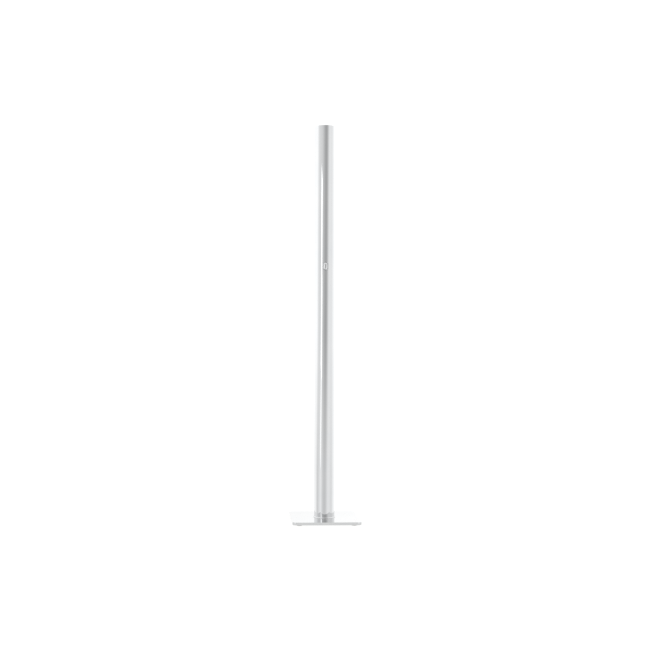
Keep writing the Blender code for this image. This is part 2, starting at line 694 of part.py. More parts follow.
def make_stop(materials):
    """The floor of the socket: a disc under the housing, and the pad that the pole stands on."""
    section = ring_profile(DRAIN_RADIUS, HOUSING_RADIUS, STOP_DISC_BOTTOM, STOP_DISC_TOP)
    disc = turned("stop_disc", section, materials["steel"])
    middle = (STOP_DISC_BOTTOM + STOP_DISC_TOP) / 2
    for x, y in corners(*HOUSING_SCREW_PLACE).values():
        hole(disc, HOUSING_SCREW.radius + GAP, 3 * STOP_DISC_THICKNESS, (x, y, middle), steps=16)
    pad_bottom = HOUSING_BOTTOM
    pad_radius = HOUSING_BORE_RADIUS - 0.6 * MM
    section = ring_profile(DRAIN_RADIUS, pad_radius, pad_bottom, pad_bottom + STOP_PAD_THICKNESS)
    turned("stop_pad", section, materials["rubber"], steps=32)
    screw = screw_mesh("housing_screw", materials["zinc"], HOUSING_SCREW)
    face = STOP_DISC_BOTTOM - GAP - HOUSING_SCREW.head_height
    places = {label: (x, y, face) for label, (x, y) in corners(*HOUSING_SCREW_PLACE).items()}
    place_screws("housing_screw", screw, materials["zinc"], places, (0, 0, -1))


def main():
    clear_scene()
    materials = make_materials()
    make_base_plate(materials)
    make_feet(materials)
    make_foot_ring(materials)
    make_column_plug(materials)
    make_ballast(materials)
    make_column(materials)
    make_socket_screws(materials)
    make_top_bush(materials)
    make_sleeve(materials)
    make_housing(materials)
    make_latch_plate(materials)
    make_button(materials)
    make_bezel(materials)
    make_springs(materials)
    make_stop(materials)


main()
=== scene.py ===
# %% [markdown]
# # A flag pole stand in mirror chrome
#
# The real object is a polished steel tube on a thin square plate, the kind that holds a flag pole upright
# in a hall. A pole slides down into the tube's mouth, and a push-button in the front lets it go again.
#
# Almost everything that the eye sees here is a reflection. So this lesson spends its effort on three things:
# true, smooth surfaces for the reflections to run along, a studio worth reflecting, and finishes that
# carry the small marks of how each part was made.
#
# We start by loading the engineering model as a fixed frame. Every size and place below comes from it.

# %% Load the frame
import math

import bmesh
import bpy
from mathutils import Matrix, Vector


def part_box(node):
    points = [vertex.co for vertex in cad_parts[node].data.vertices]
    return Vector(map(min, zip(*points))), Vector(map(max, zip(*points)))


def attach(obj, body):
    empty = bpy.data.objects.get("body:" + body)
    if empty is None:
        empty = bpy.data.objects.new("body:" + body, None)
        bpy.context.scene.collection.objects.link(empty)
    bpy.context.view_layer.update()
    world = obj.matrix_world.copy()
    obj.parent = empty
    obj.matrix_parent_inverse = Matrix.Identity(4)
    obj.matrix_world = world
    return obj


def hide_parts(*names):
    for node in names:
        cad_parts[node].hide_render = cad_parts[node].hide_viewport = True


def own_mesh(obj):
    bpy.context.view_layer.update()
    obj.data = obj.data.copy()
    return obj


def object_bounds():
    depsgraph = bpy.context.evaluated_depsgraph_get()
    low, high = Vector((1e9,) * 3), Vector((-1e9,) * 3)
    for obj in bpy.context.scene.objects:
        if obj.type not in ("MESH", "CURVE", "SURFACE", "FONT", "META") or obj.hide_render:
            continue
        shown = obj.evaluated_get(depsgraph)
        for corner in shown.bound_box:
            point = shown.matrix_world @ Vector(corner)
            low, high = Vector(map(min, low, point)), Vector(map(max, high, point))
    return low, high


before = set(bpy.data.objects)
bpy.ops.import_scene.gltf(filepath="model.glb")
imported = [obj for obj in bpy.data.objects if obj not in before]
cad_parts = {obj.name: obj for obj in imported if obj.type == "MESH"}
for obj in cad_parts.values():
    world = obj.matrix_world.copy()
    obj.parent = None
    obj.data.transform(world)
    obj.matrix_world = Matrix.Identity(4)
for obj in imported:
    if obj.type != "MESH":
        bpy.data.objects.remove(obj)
cad_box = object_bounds()
MM = 0.001
GAP = 0.3 * MM  # left between two parts that touch
STAND, CATCH = "stand", "catch"


def extent(node):
    """A part's lowest corner, highest corner and size."""
    low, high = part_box(node)
    return low, high, high - low


column_low, column_high, column_size = extent("column_tube")
column_radius = column_size.x / 2
bezel_low, bezel_high, bezel_size = extent("button_bezel")
latch_level = (bezel_low.z + bezel_high.z) / 2
print(f"column {column_size.x / MM:.0f} mm across, {column_high.z:.2f} m high, latch at {latch_level:.3f} m")

# %% [markdown]
# ## Camera
#
# A stand this tall is looked at from across the room with a longish lens, at about chest height, and very
# nearly level, so that the column's sides stay parallel. The camera stands a little to the left. A small
# sideways shift of the lens puts the column back in the middle without turning it.

# %% Camera
camera_data = bpy.data.cameras.new("camera")
camera_data.sensor_width = 36
camera_data.lens = 60.2
camera_data.shift_x = 0.0994
camera_data.clip_end = 100
camera = bpy.data.objects.new("camera", camera_data)
bpy.context.scene.collection.objects.link(camera)
camera.location = (-0.448, -4.847, 0.843)
yaw, pitch, roll = math.radians(-2.009), math.radians(90.191), math.radians(0.085)
turn = Matrix.Rotation(yaw, 4, "Z") @ Matrix.Rotation(pitch, 4, "X") @ Matrix.Rotation(roll, 4, "Z")
camera.matrix_world = Matrix.Translation(camera.location) @ turn
bpy.context.scene.camera = camera
print(f"camera {camera.location.length:.2f} m from the origin, {camera_data.lens} mm lens")

# %% [markdown]
# ## Two helpers for nodes and colours
#
# Shaders, the studio and the Geometry Nodes are all node trees, so one small function adds a node of any
# kind with its settings and its links. Colours are written as the sRGB hex values that a colour picker
# gives, and a second function turns them into the linear values that the renderer adds up.

# %% Helpers for nodes and colours
def put(tree, kind, inputs=None, **settings):
    """Adds a node. inputs maps a socket to a value, an output, or a node, for its first output."""
    node = tree.nodes.new(kind)
    for name, value in settings.items():
        setattr(node, name, value)
    for name, value in (inputs or {}).items():
        if isinstance(value, bpy.types.Node):
            value = value.outputs[0]
        if isinstance(value, bpy.types.NodeSocket):
            tree.links.new(value, node.inputs[name])
        else:
            node.inputs[name].default_value = value
    return node


def linear(hex_colour):
    """An sRGB hex colour, such as #C4C5C6, as linear red, green, blue and alpha."""
    channels = [int(hex_colour[i : i + 2], 16) / 255 for i in (1, 3, 5)]
    return (*[c / 12.92 if c <= 0.04045 else ((c + 0.055) / 1.055) ** 2.4 for c in channels], 1)


print("mid grey is", [round(c, 3) for c in linear("#808080")])

# %% [markdown]
# ## The studio
#
# Chrome has no colour of its own: it shows the room. White cloth hangs round the back and both sides. The
# part of the room behind the camera is dimmer, and that gives the column its dark core. Between the two lie
# the softer greys of the front flats. So the room is a round wall that glows, and a colour ramp over the
# compass angle, measured from the front, says how brightly.
#
# Two such ramps are used. One is the wall above eye level. The other is the wall lower down, where light
# from the table fills the dark front. The material blends between them by the slope of a ray that mirrors
# off the column and meets the wall there. The flats also lean a little, so the angle shifts with height.
#
# The wall is a real object at a real distance. That matters at the foot: what the plate mirrors comes from
# lower down on the wall than what the column shows at its top, though both rays rise equally steeply.
#
# Above and below the wall, the world takes over with the overhead lights and the dark hall floor. A tall,
# slim softbox leans at the front left and draws the thin bright line down the column, and a dimmer oval
# lamp below it lets that line fade out. Rays that go straight to the camera see plain white paper.

# %% Studio light
BRIGHTEST = 1.8
LEAN = math.radians(45)  # how far the flats' edges shift for each unit that a ray rises
# (degrees from the front, clockwise seen from above; brightness of the upper room; of the lower room)
STUDIO = [
    (-180, 1.48, 0.85),
    (-160, 1.55, 1.15),
    (-140, 1.66, 1.45),
    (-112, 1.78, 1.52),
    (-94, 1.68, 1.22),
    (-79, 1.32, 1.05),
    (-66, 1.22, 1.22),
    (-40, 1.12, 1.42),
    (-28, 1.00, 1.20),
    (-17, 0.84, 1.05),
    (-6, 0.70, 0.98),
    (4, 0.63, 0.96),
    (15, 0.67, 1.02),
    (27, 0.96, 1.20),
    (39, 1.32, 1.34),
    (52, 1.40, 1.35),
    (66, 1.38, 1.31),
    (80, 1.38, 1.22),
    (96, 1.52, 1.32),
    (116, 1.66, 1.55),
    (145, 1.52, 1.55),
    (162, 1.48, 1.15),
    (180, 1.48, 0.85),
]

# (how steeply a ray rises, brightness, how much of the room's tones it covers) above and below the wall
HEIGHTS = [
    (-1, 0.3, 0.6),
    (-0.1, 0.5, 0.55),
    (0.1, 1.4, 0.4),
    (0.4, 1.8, 0.4),
    (0.93, 1.8, 0.6),
    (1, 0.7, 1),
]
WALL_RADIUS, WALL_FOOT, WALL_TOP = 3.2, -0.75, 2.5
SKIRTING, SKIRTING_TONE, SKIRTING_COVER = 0.2, 0.5, 0.55  # the wall darkens towards the hall floor
STEEPEST = 0.2  # past this slope, the lean no longer shifts the flats' edges
LOWER_ROOM = -0.13  # a ray that falls this steeply sees only the lower room
PAPER = 1.1  # brightness of the backdrop that the camera sees
# A ray that mirrors off the column has come this far across the floor when it meets the wall.
RAY_PATH = camera.location.xy.length - column_radius + WALL_RADIUS


def ramp_of(tree, factor, stops):
    """A colour ramp with these (position, brightness, alpha) stops."""
    ramp = put(tree, "ShaderNodeValToRGB", {"Fac": factor})
    elements = ramp.color_ramp.elements
    elements.remove(elements[-1])
    for number, (position, level, alpha) in enumerate(stops):
        element = elements.new(position) if number else elements[0]
        element.position, element.color = position, (*[level / BRIGHTEST] * 3, alpha)
    return ramp.outputs


def room_tones(tree, axes, rise):
    """The room's brightness for a point or a direction, when a ray towards it rises this steeply."""
    front = put(tree, "ShaderNodeMath", {0: axes["Y"], 1: -1}, operation="MULTIPLY")
    compass = put(tree, "ShaderNodeMath", {0: axes["X"], 1: front}, operation="ARCTAN2")
    leaned = put(tree, "ShaderNodeMath", {0: rise, 1: -LEAN, 2: compass}, operation="MULTIPLY_ADD")
    share = put(tree, "ShaderNodeMapRange", {"Value": leaned, "From Min": -math.pi, "From Max": math.pi})
    falling = put(tree, "ShaderNodeMapRange", {"Value": rise, "From Min": 0.0, "From Max": LOWER_ROOM})
    upper, lower = [
        ramp_of(tree, share, [((stop[0] + 180) / 360, stop[part], 1) for stop in STUDIO])["Color"]
        for part in (1, 2)
    ]
    return put(tree, "ShaderNodeMix", {0: falling, 6: upper, 7: lower}, data_type="RGBA").outputs[2]


cloth = bpy.data.materials.new("cotton_flats_lit")
cloth.use_nodes = True
tree = cloth.node_tree
tree.nodes.clear()
axes = put(tree, "ShaderNodeSeparateXYZ", {0: put(tree, "ShaderNodeTexCoord").outputs["Object"]}).outputs
above_eye = put(tree, "ShaderNodeMath", {0: axes["Z"], 1: camera.location.z}, operation="SUBTRACT")
rise = put(tree, "ShaderNodeMath", {0: above_eye, 1: RAY_PATH}, operation="DIVIDE")
room = room_tones(tree, axes, rise)
skirting = {"Value": axes["Z"], "From Min": WALL_FOOT, "From Max": WALL_FOOT + SKIRTING}
clear = put(tree, "ShaderNodeMapRange", {**skirting, "To Min": 1 - SKIRTING_COVER})
tone = (*[SKIRTING_TONE / BRIGHTEST] * 3, 1)
whole_wall = put(tree, "ShaderNodeMix", {0: clear, 6: tone, 7: room}, data_type="RGBA").outputs[2]
glow = put(tree, "ShaderNodeEmission", {"Color": whole_wall, "Strength": BRIGHTEST})
put(tree, "ShaderNodeOutputMaterial", {"Surface": glow})

bm = bmesh.new()
bmesh.ops.create_cone(bm, segments=96, radius1=WALL_RADIUS, radius2=WALL_RADIUS, depth=WALL_TOP - WALL_FOOT)
bmesh.ops.translate(bm, vec=(0, 0, (WALL_TOP + WALL_FOOT) / 2), verts=bm.verts)
bmesh.ops.reverse_faces(bm, faces=bm.faces)
mesh = bpy.data.meshes.new("room_wall")
bm.to_mesh(mesh)
bm.free()
mesh.materials.append(cloth)
wall = bpy.data.objects.new("room_wall", mesh)
bpy.context.scene.collection.objects.link(wall)
wall.visible_camera = False

world = bpy.data.worlds.new("studio")
bpy.context.scene.world = world
world.use_nodes = True
tree = world.node_tree
tree.nodes.clear()
axes = put(tree, "ShaderNodeSeparateXYZ", {0: put(tree, "ShaderNodeTexCoord").outputs["Generated"]}).outputs
limits = {"From Min": -STEEPEST, "From Max": STEEPEST, "To Min": -STEEPEST, "To Max": STEEPEST}
rise = put(tree, "ShaderNodeMapRange", {"Value": axes["Z"], **limits})
height = put(tree, "ShaderNodeMapRange", {"Value": axes["Z"], "From Min": -1, "From Max": 1})
over = ramp_of(tree, height, [((slope + 1) / 2, level, cover) for slope, level, cover in HEIGHTS])
inputs = {0: over["Alpha"], 6: room_tones(tree, axes, rise), 7: over["Color"]}
beyond = put(tree, "ShaderNodeMix", inputs, data_type="RGBA").outputs[2]
light = put(tree, "ShaderNodeBackground", {"Color": beyond, "Strength": BRIGHTEST})
paper = put(tree, "ShaderNodeBackground", {"Color": (1, 1, 1, 1), "Strength": PAPER})
straight = put(tree, "ShaderNodeLightPath").outputs["Is Camera Ray"]
shown = put(tree, "ShaderNodeMixShader", {0: straight, 1: light, 2: paper})
put(tree, "ShaderNodeOutputWorld", {"Surface": shown})


def round_the_column(angle, distance, height):
    """A point at this compass angle in degrees, measured from the front."""
    angle = math.radians(angle)
    return Vector((distance * math.sin(angle), -distance * math.cos(angle), height))


def strip_light(name, shape, foot, head, width, brightness):
    """A tall lamp from foot to head that faces the column, unseen by the camera."""
    middle, upward = (foot + head) / 2, (head - foot).normalized()
    lamp = bpy.data.lights.new(name, "AREA")
    lamp.shape, lamp.size, lamp.size_y = shape, width, (head - foot).length
    area = lamp.size * lamp.size_y * (math.pi / 4 if shape == "ELLIPSE" else 1)
    lamp.energy = brightness * math.pi * area
    backward = Vector((middle.x, middle.y, 0))
    backward = (backward - backward.dot(upward) * upward).normalized()
    turned = Matrix((upward.cross(backward), upward, backward)).transposed().to_4x4()
    lamp_object = bpy.data.objects.new(name, lamp)
    lamp_object.matrix_world = Matrix.Translation(middle) @ turned
    lamp_object.visible_camera = False
    bpy.context.scene.collection.objects.link(lamp_object)


LAMP_DISTANCE = 3
LAMPS = [  # name, shape, (compass angle, height) of the foot and of the head, width, brightness
    ("strip_softbox", "RECTANGLE", (-41, 0.55), (-34.5, 1.98), 0.5, 1.5),
    ("strip_fade", "ELLIPSE", (-50, -0.13), (-33, 1.23), 0.4, 0.8),
]
for name, shape, *ends, width, brightness in LAMPS:
    foot, head = [round_the_column(angle, LAMP_DISTANCE, height) for angle, height in ends]
    strip_light(name, shape, foot, head, width, brightness)
bpy.context.scene.view_settings.view_transform = "Standard"
print(f"studio with {len(STUDIO)} tones and a wall {WALL_RADIUS} m away")

# %% [markdown]
# ## Making surfaces that reflect well
#
# Most parts of this stand were turned on a lathe, so most of the shapes here are a profile swept round the
# axis. On a mirror the eye reads the shading normals much more than the outline, so three habits matter:
# plenty of steps round the axis, smooth shading broken only at real edges, and small bevels that catch a
# line of light where two faces meet.
#
# Holes are cut with Booleans. They leave large flat faces with many corners, so a Weighted Normal modifier
# then makes the big faces win and keeps them flat.

# %% Helpers for shapes
ROUND = 192  # steps round a large turned part
SHARP_ANGLE = math.radians(35)
HAIR = 0.002 * MM  # corners that a cut leaves closer than this are joined
OFF_ROUND = 0.12 * MM  # a corner of a round wall may lie this far off its radius


def new_object(name, mesh):
    obj = bpy.data.objects.new(name, mesh)
    bpy.context.scene.collection.objects.link(obj)
    return obj


def object_from(name, bm):
    mesh = bpy.data.meshes.new(name)
    bm.to_mesh(mesh)
    bm.free()
    return new_object(name, mesh)


def lathe(name, profile, steps=ROUND, closed=True):
    """Turns (radius, height) points about Z, down the outside first. An open profile isn't joined up."""
    bm = bmesh.new()
    rings = []
    for radius, height in profile:
        count = steps if radius > 0 else 1
        angles = [2 * math.pi * i / steps for i in range(count)]
        rings.append([bm.verts.new((radius * math.cos(a), radius * math.sin(a), height)) for a in angles])
    following = rings[1:] + rings[:1] if closed else rings[1:]
    for upper, lower in zip(rings, following):
        for i in range(steps):
            j = (i + 1) % steps
            ends = ((upper, i), (lower, i), (lower, j), (upper, j))
            face = list(dict.fromkeys(ring[k % len(ring)] for ring, k in ends))
            if len(face) > 2:
                bm.faces.new(face)
    return object_from(name, bm)


def arc(centre, radius, start, end, steps=5):
    """Points on a round corner of a profile, from one angle to another in degrees."""
    angles = [math.radians(start + (end - start) * i / steps) for i in range(steps + 1)]
    return [(centre[0] + radius * math.cos(a), centre[1] + radius * math.sin(a)) for a in angles]


def bake(obj):
    """Turns the object's modifiers into plain mesh."""
    bpy.context.view_layer.update()
    graph = bpy.context.evaluated_depsgraph_get()
    mesh = bpy.data.meshes.new_from_object(obj.evaluated_get(graph))
    obj.modifiers.clear()
    obj.data = mesh
    return obj


def cut(obj, cutters, operation="DIFFERENCE"):
    """Cuts, or keeps, what the cutters cover, and removes them."""
    for cutter in cutters:
        modifier = obj.modifiers.new("cut", "BOOLEAN")
        modifier.object, modifier.operation, modifier.solver = cutter, operation, "EXACT"
    bake(obj)
    bm = bmesh.new()
    bm.from_mesh(obj.data)
    bmesh.ops.remove_doubles(bm, verts=bm.verts, dist=HAIR)
    bmesh.ops.dissolve_degenerate(bm, dist=HAIR, edges=bm.edges)
    bm.to_mesh(obj.data)
    bm.free()
    for cutter in cutters:
        bpy.data.objects.remove(cutter)
    return obj


def drill(radius, start, end, steps=32, end_radius=None):
    """A round cutter from one point to another, or a cone to end_radius."""
    start, end = Vector(start), Vector(end)
    bm = bmesh.new()
    far = radius if end_radius is None else end_radius
    depth = (end - start).length
    bmesh.ops.create_cone(bm, cap_ends=True, segments=steps, radius1=radius, radius2=far, depth=depth)
    turned = Vector((0, 0, 1)).rotation_difference(end - start).to_matrix().to_4x4()
    bmesh.ops.transform(bm, matrix=Matrix.Translation((start + end) / 2) @ turned, verts=bm.verts)
    return object_from("drill", bm)


def cuboid(name, size, middle):
    """A box of this size about its middle."""
    bm = bmesh.new()
    bmesh.ops.create_cube(bm, size=1)
    bmesh.ops.scale(bm, vec=size, verts=bm.verts)
    bmesh.ops.translate(bm, vec=middle, verts=bm.verts)
    return object_from(name, bm)


def ring_profile(outer, inner, low, high, edge):
    """The section of a ring whose two outer edges are broken by this much."""
    outside = [(outer - edge, high), (outer, high - edge), (outer, low + edge), (outer - edge, low)]
    return [*outside, (inner, low), (inner, high)]


def smooth(obj, bevel=0.0, segments=2):
    """Rounds the sharp edges a little and shades the rest smooth."""
    obj.data.shade_smooth()
    obj.data.set_sharp_from_angle(angle=SHARP_ANGLE)
    if bevel:
        modifier = obj.modifiers.new("bevel", "BEVEL")
        modifier.width, modifier.segments = bevel, segments
        modifier.limit_method, modifier.angle_limit = "ANGLE", SHARP_ANGLE
        obj.data.shade_smooth()
        weighted = obj.modifiers.new("flat faces win", "WEIGHTED_NORMAL")
        weighted.weight = 100
        bake(obj)
    return obj


def round_the_wall(obj, radius):
    """Points the shading normals of a round outer wall straight away from its axis."""
    mesh = obj.data
    normals = [Vector(corner.vector) for corner in mesh.corner_normals]
    for face in mesh.polygons:
        places = [mesh.vertices[mesh.loops[i].vertex_index].co for i in face.loop_indices]
        if all(abs(place.xy.length - radius) < OFF_ROUND for place in places):
            for i, place in zip(face.loop_indices, places):
                normals[i] = Vector((place.x, place.y, 0)).normalized()
    mesh.normals_split_custom_set(normals)


def fit(obj, material, body, slot, *nodes):
    """Finishes a piece: its material, its body and the parts that it replaces. slot is not used."""
    obj.data.materials.clear()
    obj.data.materials.append(material)
    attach(obj, body)
    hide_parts(*nodes)
    print(f"{obj.name}: {len(obj.data.polygons)} faces")
    return obj


# %% [markdown]
# ## Finishes
#
# Each finish starts from what the real surface is and how it was made. All of them read Object
# coordinates, which are metres here, so a pattern's scale is one over its size in metres.
#
# **Chromium plate** is the star. Clean chromium reflects about 56% of the light, and it is very slightly
# cool. Polishing leaves it almost perfectly smooth, so its detail is in the roughness: a faint haze where
# hands and cloths have been, and hair-fine buffing marks that run round the tube.

# %% Finishes: the start of every material, and chromium
def start_material(name, colour, metallic, roughness):
    """A material with its shader and Object coordinates."""
    material = bpy.data.materials.new(name)
    material.use_nodes = True
    tree = material.node_tree
    shader = tree.nodes["Principled BSDF"]
    shader.inputs["Base Color"].default_value = linear(colour)
    shader.inputs["Metallic"].default_value = metallic
    shader.inputs["Roughness"].default_value = roughness
    return material, tree, shader, put(tree, "ShaderNodeTexCoord").outputs["Object"]


def roughened(tree, shader, factor, low, high):
    """Lets a texture vary the roughness between two values."""
    spread = put(tree, "ShaderNodeMapRange", {"Value": factor, "To Min": low, "To Max": high})
    tree.links.new(spread.outputs["Result"], shader.inputs["Roughness"])


def tinted(tree, shader, factor, low, high):
    """Lets a texture vary the base colour between two hex colours."""
    tint = put(tree, "ShaderNodeMix", {0: factor, 6: linear(low), 7: linear(high)}, data_type="RGBA")
    tree.links.new(tint.outputs[2], shader.inputs["Base Color"])


def bump(tree, shader, height, depth, strength=1.0):
    """Raises the surface by the texture times a real depth in metres."""
    inputs = {"Height": height, "Distance": depth, "Strength": strength}
    tree.links.new(put(tree, "ShaderNodeBump", inputs).outputs["Normal"], shader.inputs["Normal"])


def stretched(tree, coordinates, scale):
    """Coordinates scaled by a different amount along each axis, to draw a pattern out into lines."""
    return put(tree, "ShaderNodeMapping", {"Vector": coordinates, "Scale": scale}).outputs["Vector"]


def chromium(name, mark_scale):
    """Mirror-polished chromium plate. mark_scale draws the buffing marks out along the way it was buffed."""
    material, tree, shader, where = start_material(name, "#C4C5C6", 1, 0.03)
    haze = put(tree, "ShaderNodeTexNoise", {"Vector": where, "Scale": 1 / (90 * MM), "Detail": 3})
    drawn_out = stretched(tree, where, mark_scale)
    marks = put(tree, "ShaderNodeTexNoise", {"Vector": drawn_out, "Scale": 1 / (4 * MM)})
    fields = {0: haze.outputs["Fac"], 1: marks.outputs["Fac"]}
    both = put(tree, "ShaderNodeMath", fields, operation="MULTIPLY")
    roughened(tree, shader, both, 0.015, 0.075)
    tinted(tree, shader, haze.outputs["Fac"], "#C1C3C5", "#C8C8C8")
    return material


tube_chrome = chromium("chromium_plate_buffed_round", (0.3, 0.3, 4))
plate_chrome = chromium("chromium_plate_buffed_flat", (0.2, 3, 1))
small_chrome = chromium("chromium_plate_small_fittings", (1, 1, 1))
print("chromium finishes ready")

# %% [markdown]
# **Turned and plated steel** keeps the lathe's rings under its skin. **Zinc plate** is a thin cloudy layer
# with a breath of blue. **Drawn aluminium** has long die lines. All three are metals, so the base colour is
# the reflection's colour, and a pattern in roughness and bump tells them apart.

# %% Finishes: steel, zinc, aluminium, iron
def rings(tree, where, spacing):
    """Concentric turning marks round the Z axis, this far apart."""
    # The Wave texture's rings are 2 pi / 20 units apart at a scale of 1.
    inputs = {"Vector": where, "Scale": math.pi / 10 / spacing, "Distortion": 0.4, "Detail": 2}
    wave = put(tree, "ShaderNodeTexWave", inputs, wave_type="RINGS", rings_direction="Z")
    return wave.outputs["Fac"]


def turned_steel():
    """Lathe-turned mild steel with a trace of oil: a satin mirror crossed by fine rings."""
    material, tree, shader, where = start_material("mild_steel_turned", "#9FA1A3", 1, 0.3)
    grooves = rings(tree, where, 1.2 * MM)  # real ones are 0.2 mm apart, too fine to show
    roughened(tree, shader, grooves, 0.22, 0.38)
    bump(tree, shader, grooves, 0.01 * MM)
    return material


def zinc_plate():
    """Bright zinc electroplate on steel: soft clouds of grain and a cool cast."""
    material, tree, shader, where = start_material("steel_zinc_plated", "#B4B9C2", 1, 0.28)
    clouds = put(tree, "ShaderNodeTexNoise", {"Vector": where, "Scale": 1 / (6 * MM), "Detail": 4})
    tinted(tree, shader, clouds.outputs["Fac"], "#A9B0BC", "#C4C5BF")
    roughened(tree, shader, clouds.outputs["Fac"], 0.2, 0.38)
    return material


def drawn_aluminium():
    """Aluminium tube as it leaves the die: pale satin, with fine lines along its length."""
    material, tree, shader, where = start_material("aluminium_drawn_tube", "#D6D8DA", 1, 0.35)
    along = stretched(tree, where, (1, 1, 0.01))
    lines = put(tree, "ShaderNodeTexNoise", {"Vector": along, "Scale": 1 / (0.8 * MM), "Detail": 2})
    roughened(tree, shader, lines.outputs["Fac"], 0.25, 0.5)
    bump(tree, shader, lines.outputs["Fac"], 0.02 * MM)
    return material


def cast_iron():
    """Grey iron from a sand mould: dark, dull and grainy."""
    material, tree, shader, where = start_material("grey_iron_sand_cast", "#55565A", 1, 0.7)
    sand = put(tree, "ShaderNodeTexNoise", {"Vector": where, "Scale": 1 / (1.5 * MM), "Detail": 5})
    stain = put(tree, "ShaderNodeTexNoise", {"Vector": where, "Scale": 1 / (25 * MM), "Detail": 2})
    tinted(tree, shader, stain.outputs["Fac"], "#4A4B50", "#6A625C")
    roughened(tree, shader, sand.outputs["Fac"], 0.55, 0.9)
    bump(tree, shader, sand.outputs["Fac"], 0.25 * MM)
    return material


steel, zinc, aluminium, iron = turned_steel(), zinc_plate(), drawn_aluminium(), cast_iron()
print("metals:", steel.name, zinc.name, aluminium.name, iron.name)

# %% [markdown]
# **Acetal** is the slippery black plastic of bearings. Machined from rod, it shows fine tool rings and a
# low sheen. **Moulded rubber** for the glides is a light grey grade that leaves no marks on a floor. It is
# matt, with the mould's fine sparked grain.

# %% Finishes: acetal and rubber
def black_acetal():
    """Acetal turned from rod: near black, a soft sheen, and fine tool rings."""
    material, tree, shader, where = start_material("acetal_machined_black", "#1C1C1D", 0, 0.42)
    shader.inputs["IOR"].default_value = 1.48
    grooves = rings(tree, where, 0.9 * MM)
    roughened(tree, shader, grooves, 0.34, 0.5)
    bump(tree, shader, grooves, 0.015 * MM)
    dust = put(tree, "ShaderNodeTexNoise", {"Vector": where, "Scale": 1 / (20 * MM), "Detail": 4})
    tinted(tree, shader, dust.outputs["Fac"], "#19191A", "#262626")
    return material


def grey_rubber():
    """Moulded non-marking rubber: matt light grey with a sparked grain."""
    material, tree, shader, where = start_material("rubber_moulded_grey", "#B9B8B4", 0, 0.75)
    shader.inputs["IOR"].default_value = 1.52
    grain = put(tree, "ShaderNodeTexNoise", {"Vector": where, "Scale": 1 / (0.6 * MM), "Detail": 3})
    bump(tree, shader, grain.outputs["Fac"], 0.05 * MM)
    wear = put(tree, "ShaderNodeTexNoise", {"Vector": where, "Scale": 1 / (9 * MM), "Detail": 3})
    tinted(tree, shader, wear.outputs["Fac"], "#A5A4A0", "#C6C5C1")
    roughened(tree, shader, grain.outputs["Fac"], 0.65, 0.85)
    return material


acetal, rubber = black_acetal(), grey_rubber()
print("plastics:", acetal.name, rubber.name)

# %% [markdown]
# ## Floor
#
# The stand is on a light table: a disc of frosted white acrylic, lit from below. Such a table is what makes
# a thing seem to stand on pure white with no shadow. Its glow gets in under the plate, and is also what the
# foot of the column reflects. It lies a hair below the glides.

# %% Floor
floor_material, tree, shader, where = start_material("acrylic_frosted_white_lit", "#5A5A5A", 0, 0.9)
frosting = put(tree, "ShaderNodeTexNoise", {"Vector": where, "Scale": 1 / (300 * MM), "Detail": 4})
roughened(tree, shader, frosting.outputs["Fac"], 0.85, 0.95)
shader.inputs["Emission Color"].default_value = linear("#FFFFFE")
shader.inputs["Emission Strength"].default_value = 0.92
FLOOR_RADIUS = 0.27
floor_level = cad_box[0][2] - 0.5 * MM
floor = lathe("floor", [(0, floor_level), (FLOOR_RADIUS, floor_level)], steps=96, closed=False)
floor.data.flip_normals()
floor.data.materials.append(floor_material)
print(f"floor {2 * FLOOR_RADIUS:.1f} m across")

# %% [markdown]
# ## The column
#
# The tube is one turned wall with a softly broken rim. It has a window for the button at the front and three
# countersunk holes at the back. After the cuts, the outer wall's shading normals are set to point straight
# away from the axis. The wall then reflects like a true cylinder, right up to the holes' edges.

# %% Column tube
ring_low, ring_high, ring_size = extent("foot_ring")
sleeve_low, sleeve_high, sleeve_size = extent("pole_sleeve")
bush_low, bush_high, bush_size = extent("top_bush")
column_bore = bush_size.x / 2 + GAP
WINDOW_MARGIN = 10 * MM  # rings this far from the bezel end the long faces before the cut
rim_break = 0.8 * MM
profile = arc((column_radius - rim_break, column_high.z - rim_break), rim_break, 90, 0)
bands = (bezel_high.z + WINDOW_MARGIN, bezel_low.z - WINDOW_MARGIN, column_low.z)
profile += [(column_radius, z) for z in bands]
profile += [(column_bore, column_low.z)]
profile += arc((column_bore + rim_break / 2, column_high.z - rim_break / 2), rim_break / 2, 180, 90, 3)
column = lathe("column_shell", profile, steps=256)


def stadium(width, height, steps=12):
    """An upright outline with round ends, anticlockwise seen from the front, as (x, z) about its middle."""
    radius = width / 2
    straight = height / 2 - radius
    top = [math.pi * i / steps for i in range(steps + 1)]
    upper = [(radius * math.cos(a), straight + radius * math.sin(a)) for a in top]
    return upper + [(-x, -z) for x, z in upper]


def stadium_block(width, height, front, back):
    """A solid of that outline between two depths, in front of the latch."""
    bm = bmesh.new()
    outline = stadium(width, height)
    near = [bm.verts.new((x, front, latch_level + z)) for x, z in outline]
    far = [bm.verts.new((x, back, latch_level + z)) for x, z in outline]
    bm.faces.new(near)
    bm.faces.new(far[::-1])
    for i in range(len(outline)):
        j = (i + 1) % len(outline)
        bm.faces.new((near[j], near[i], far[i], far[j]))
    return object_from("block", bm)


BACK_SCREWS = ("lower", "upper", "bush")


def screw_levels():
    """The heights of the three screws up the column's back."""
    boxes = [extent(f"socket_screw_{label}") for label in BACK_SCREWS]
    return [(low.z + high.z) / 2 for low, high, size in boxes]


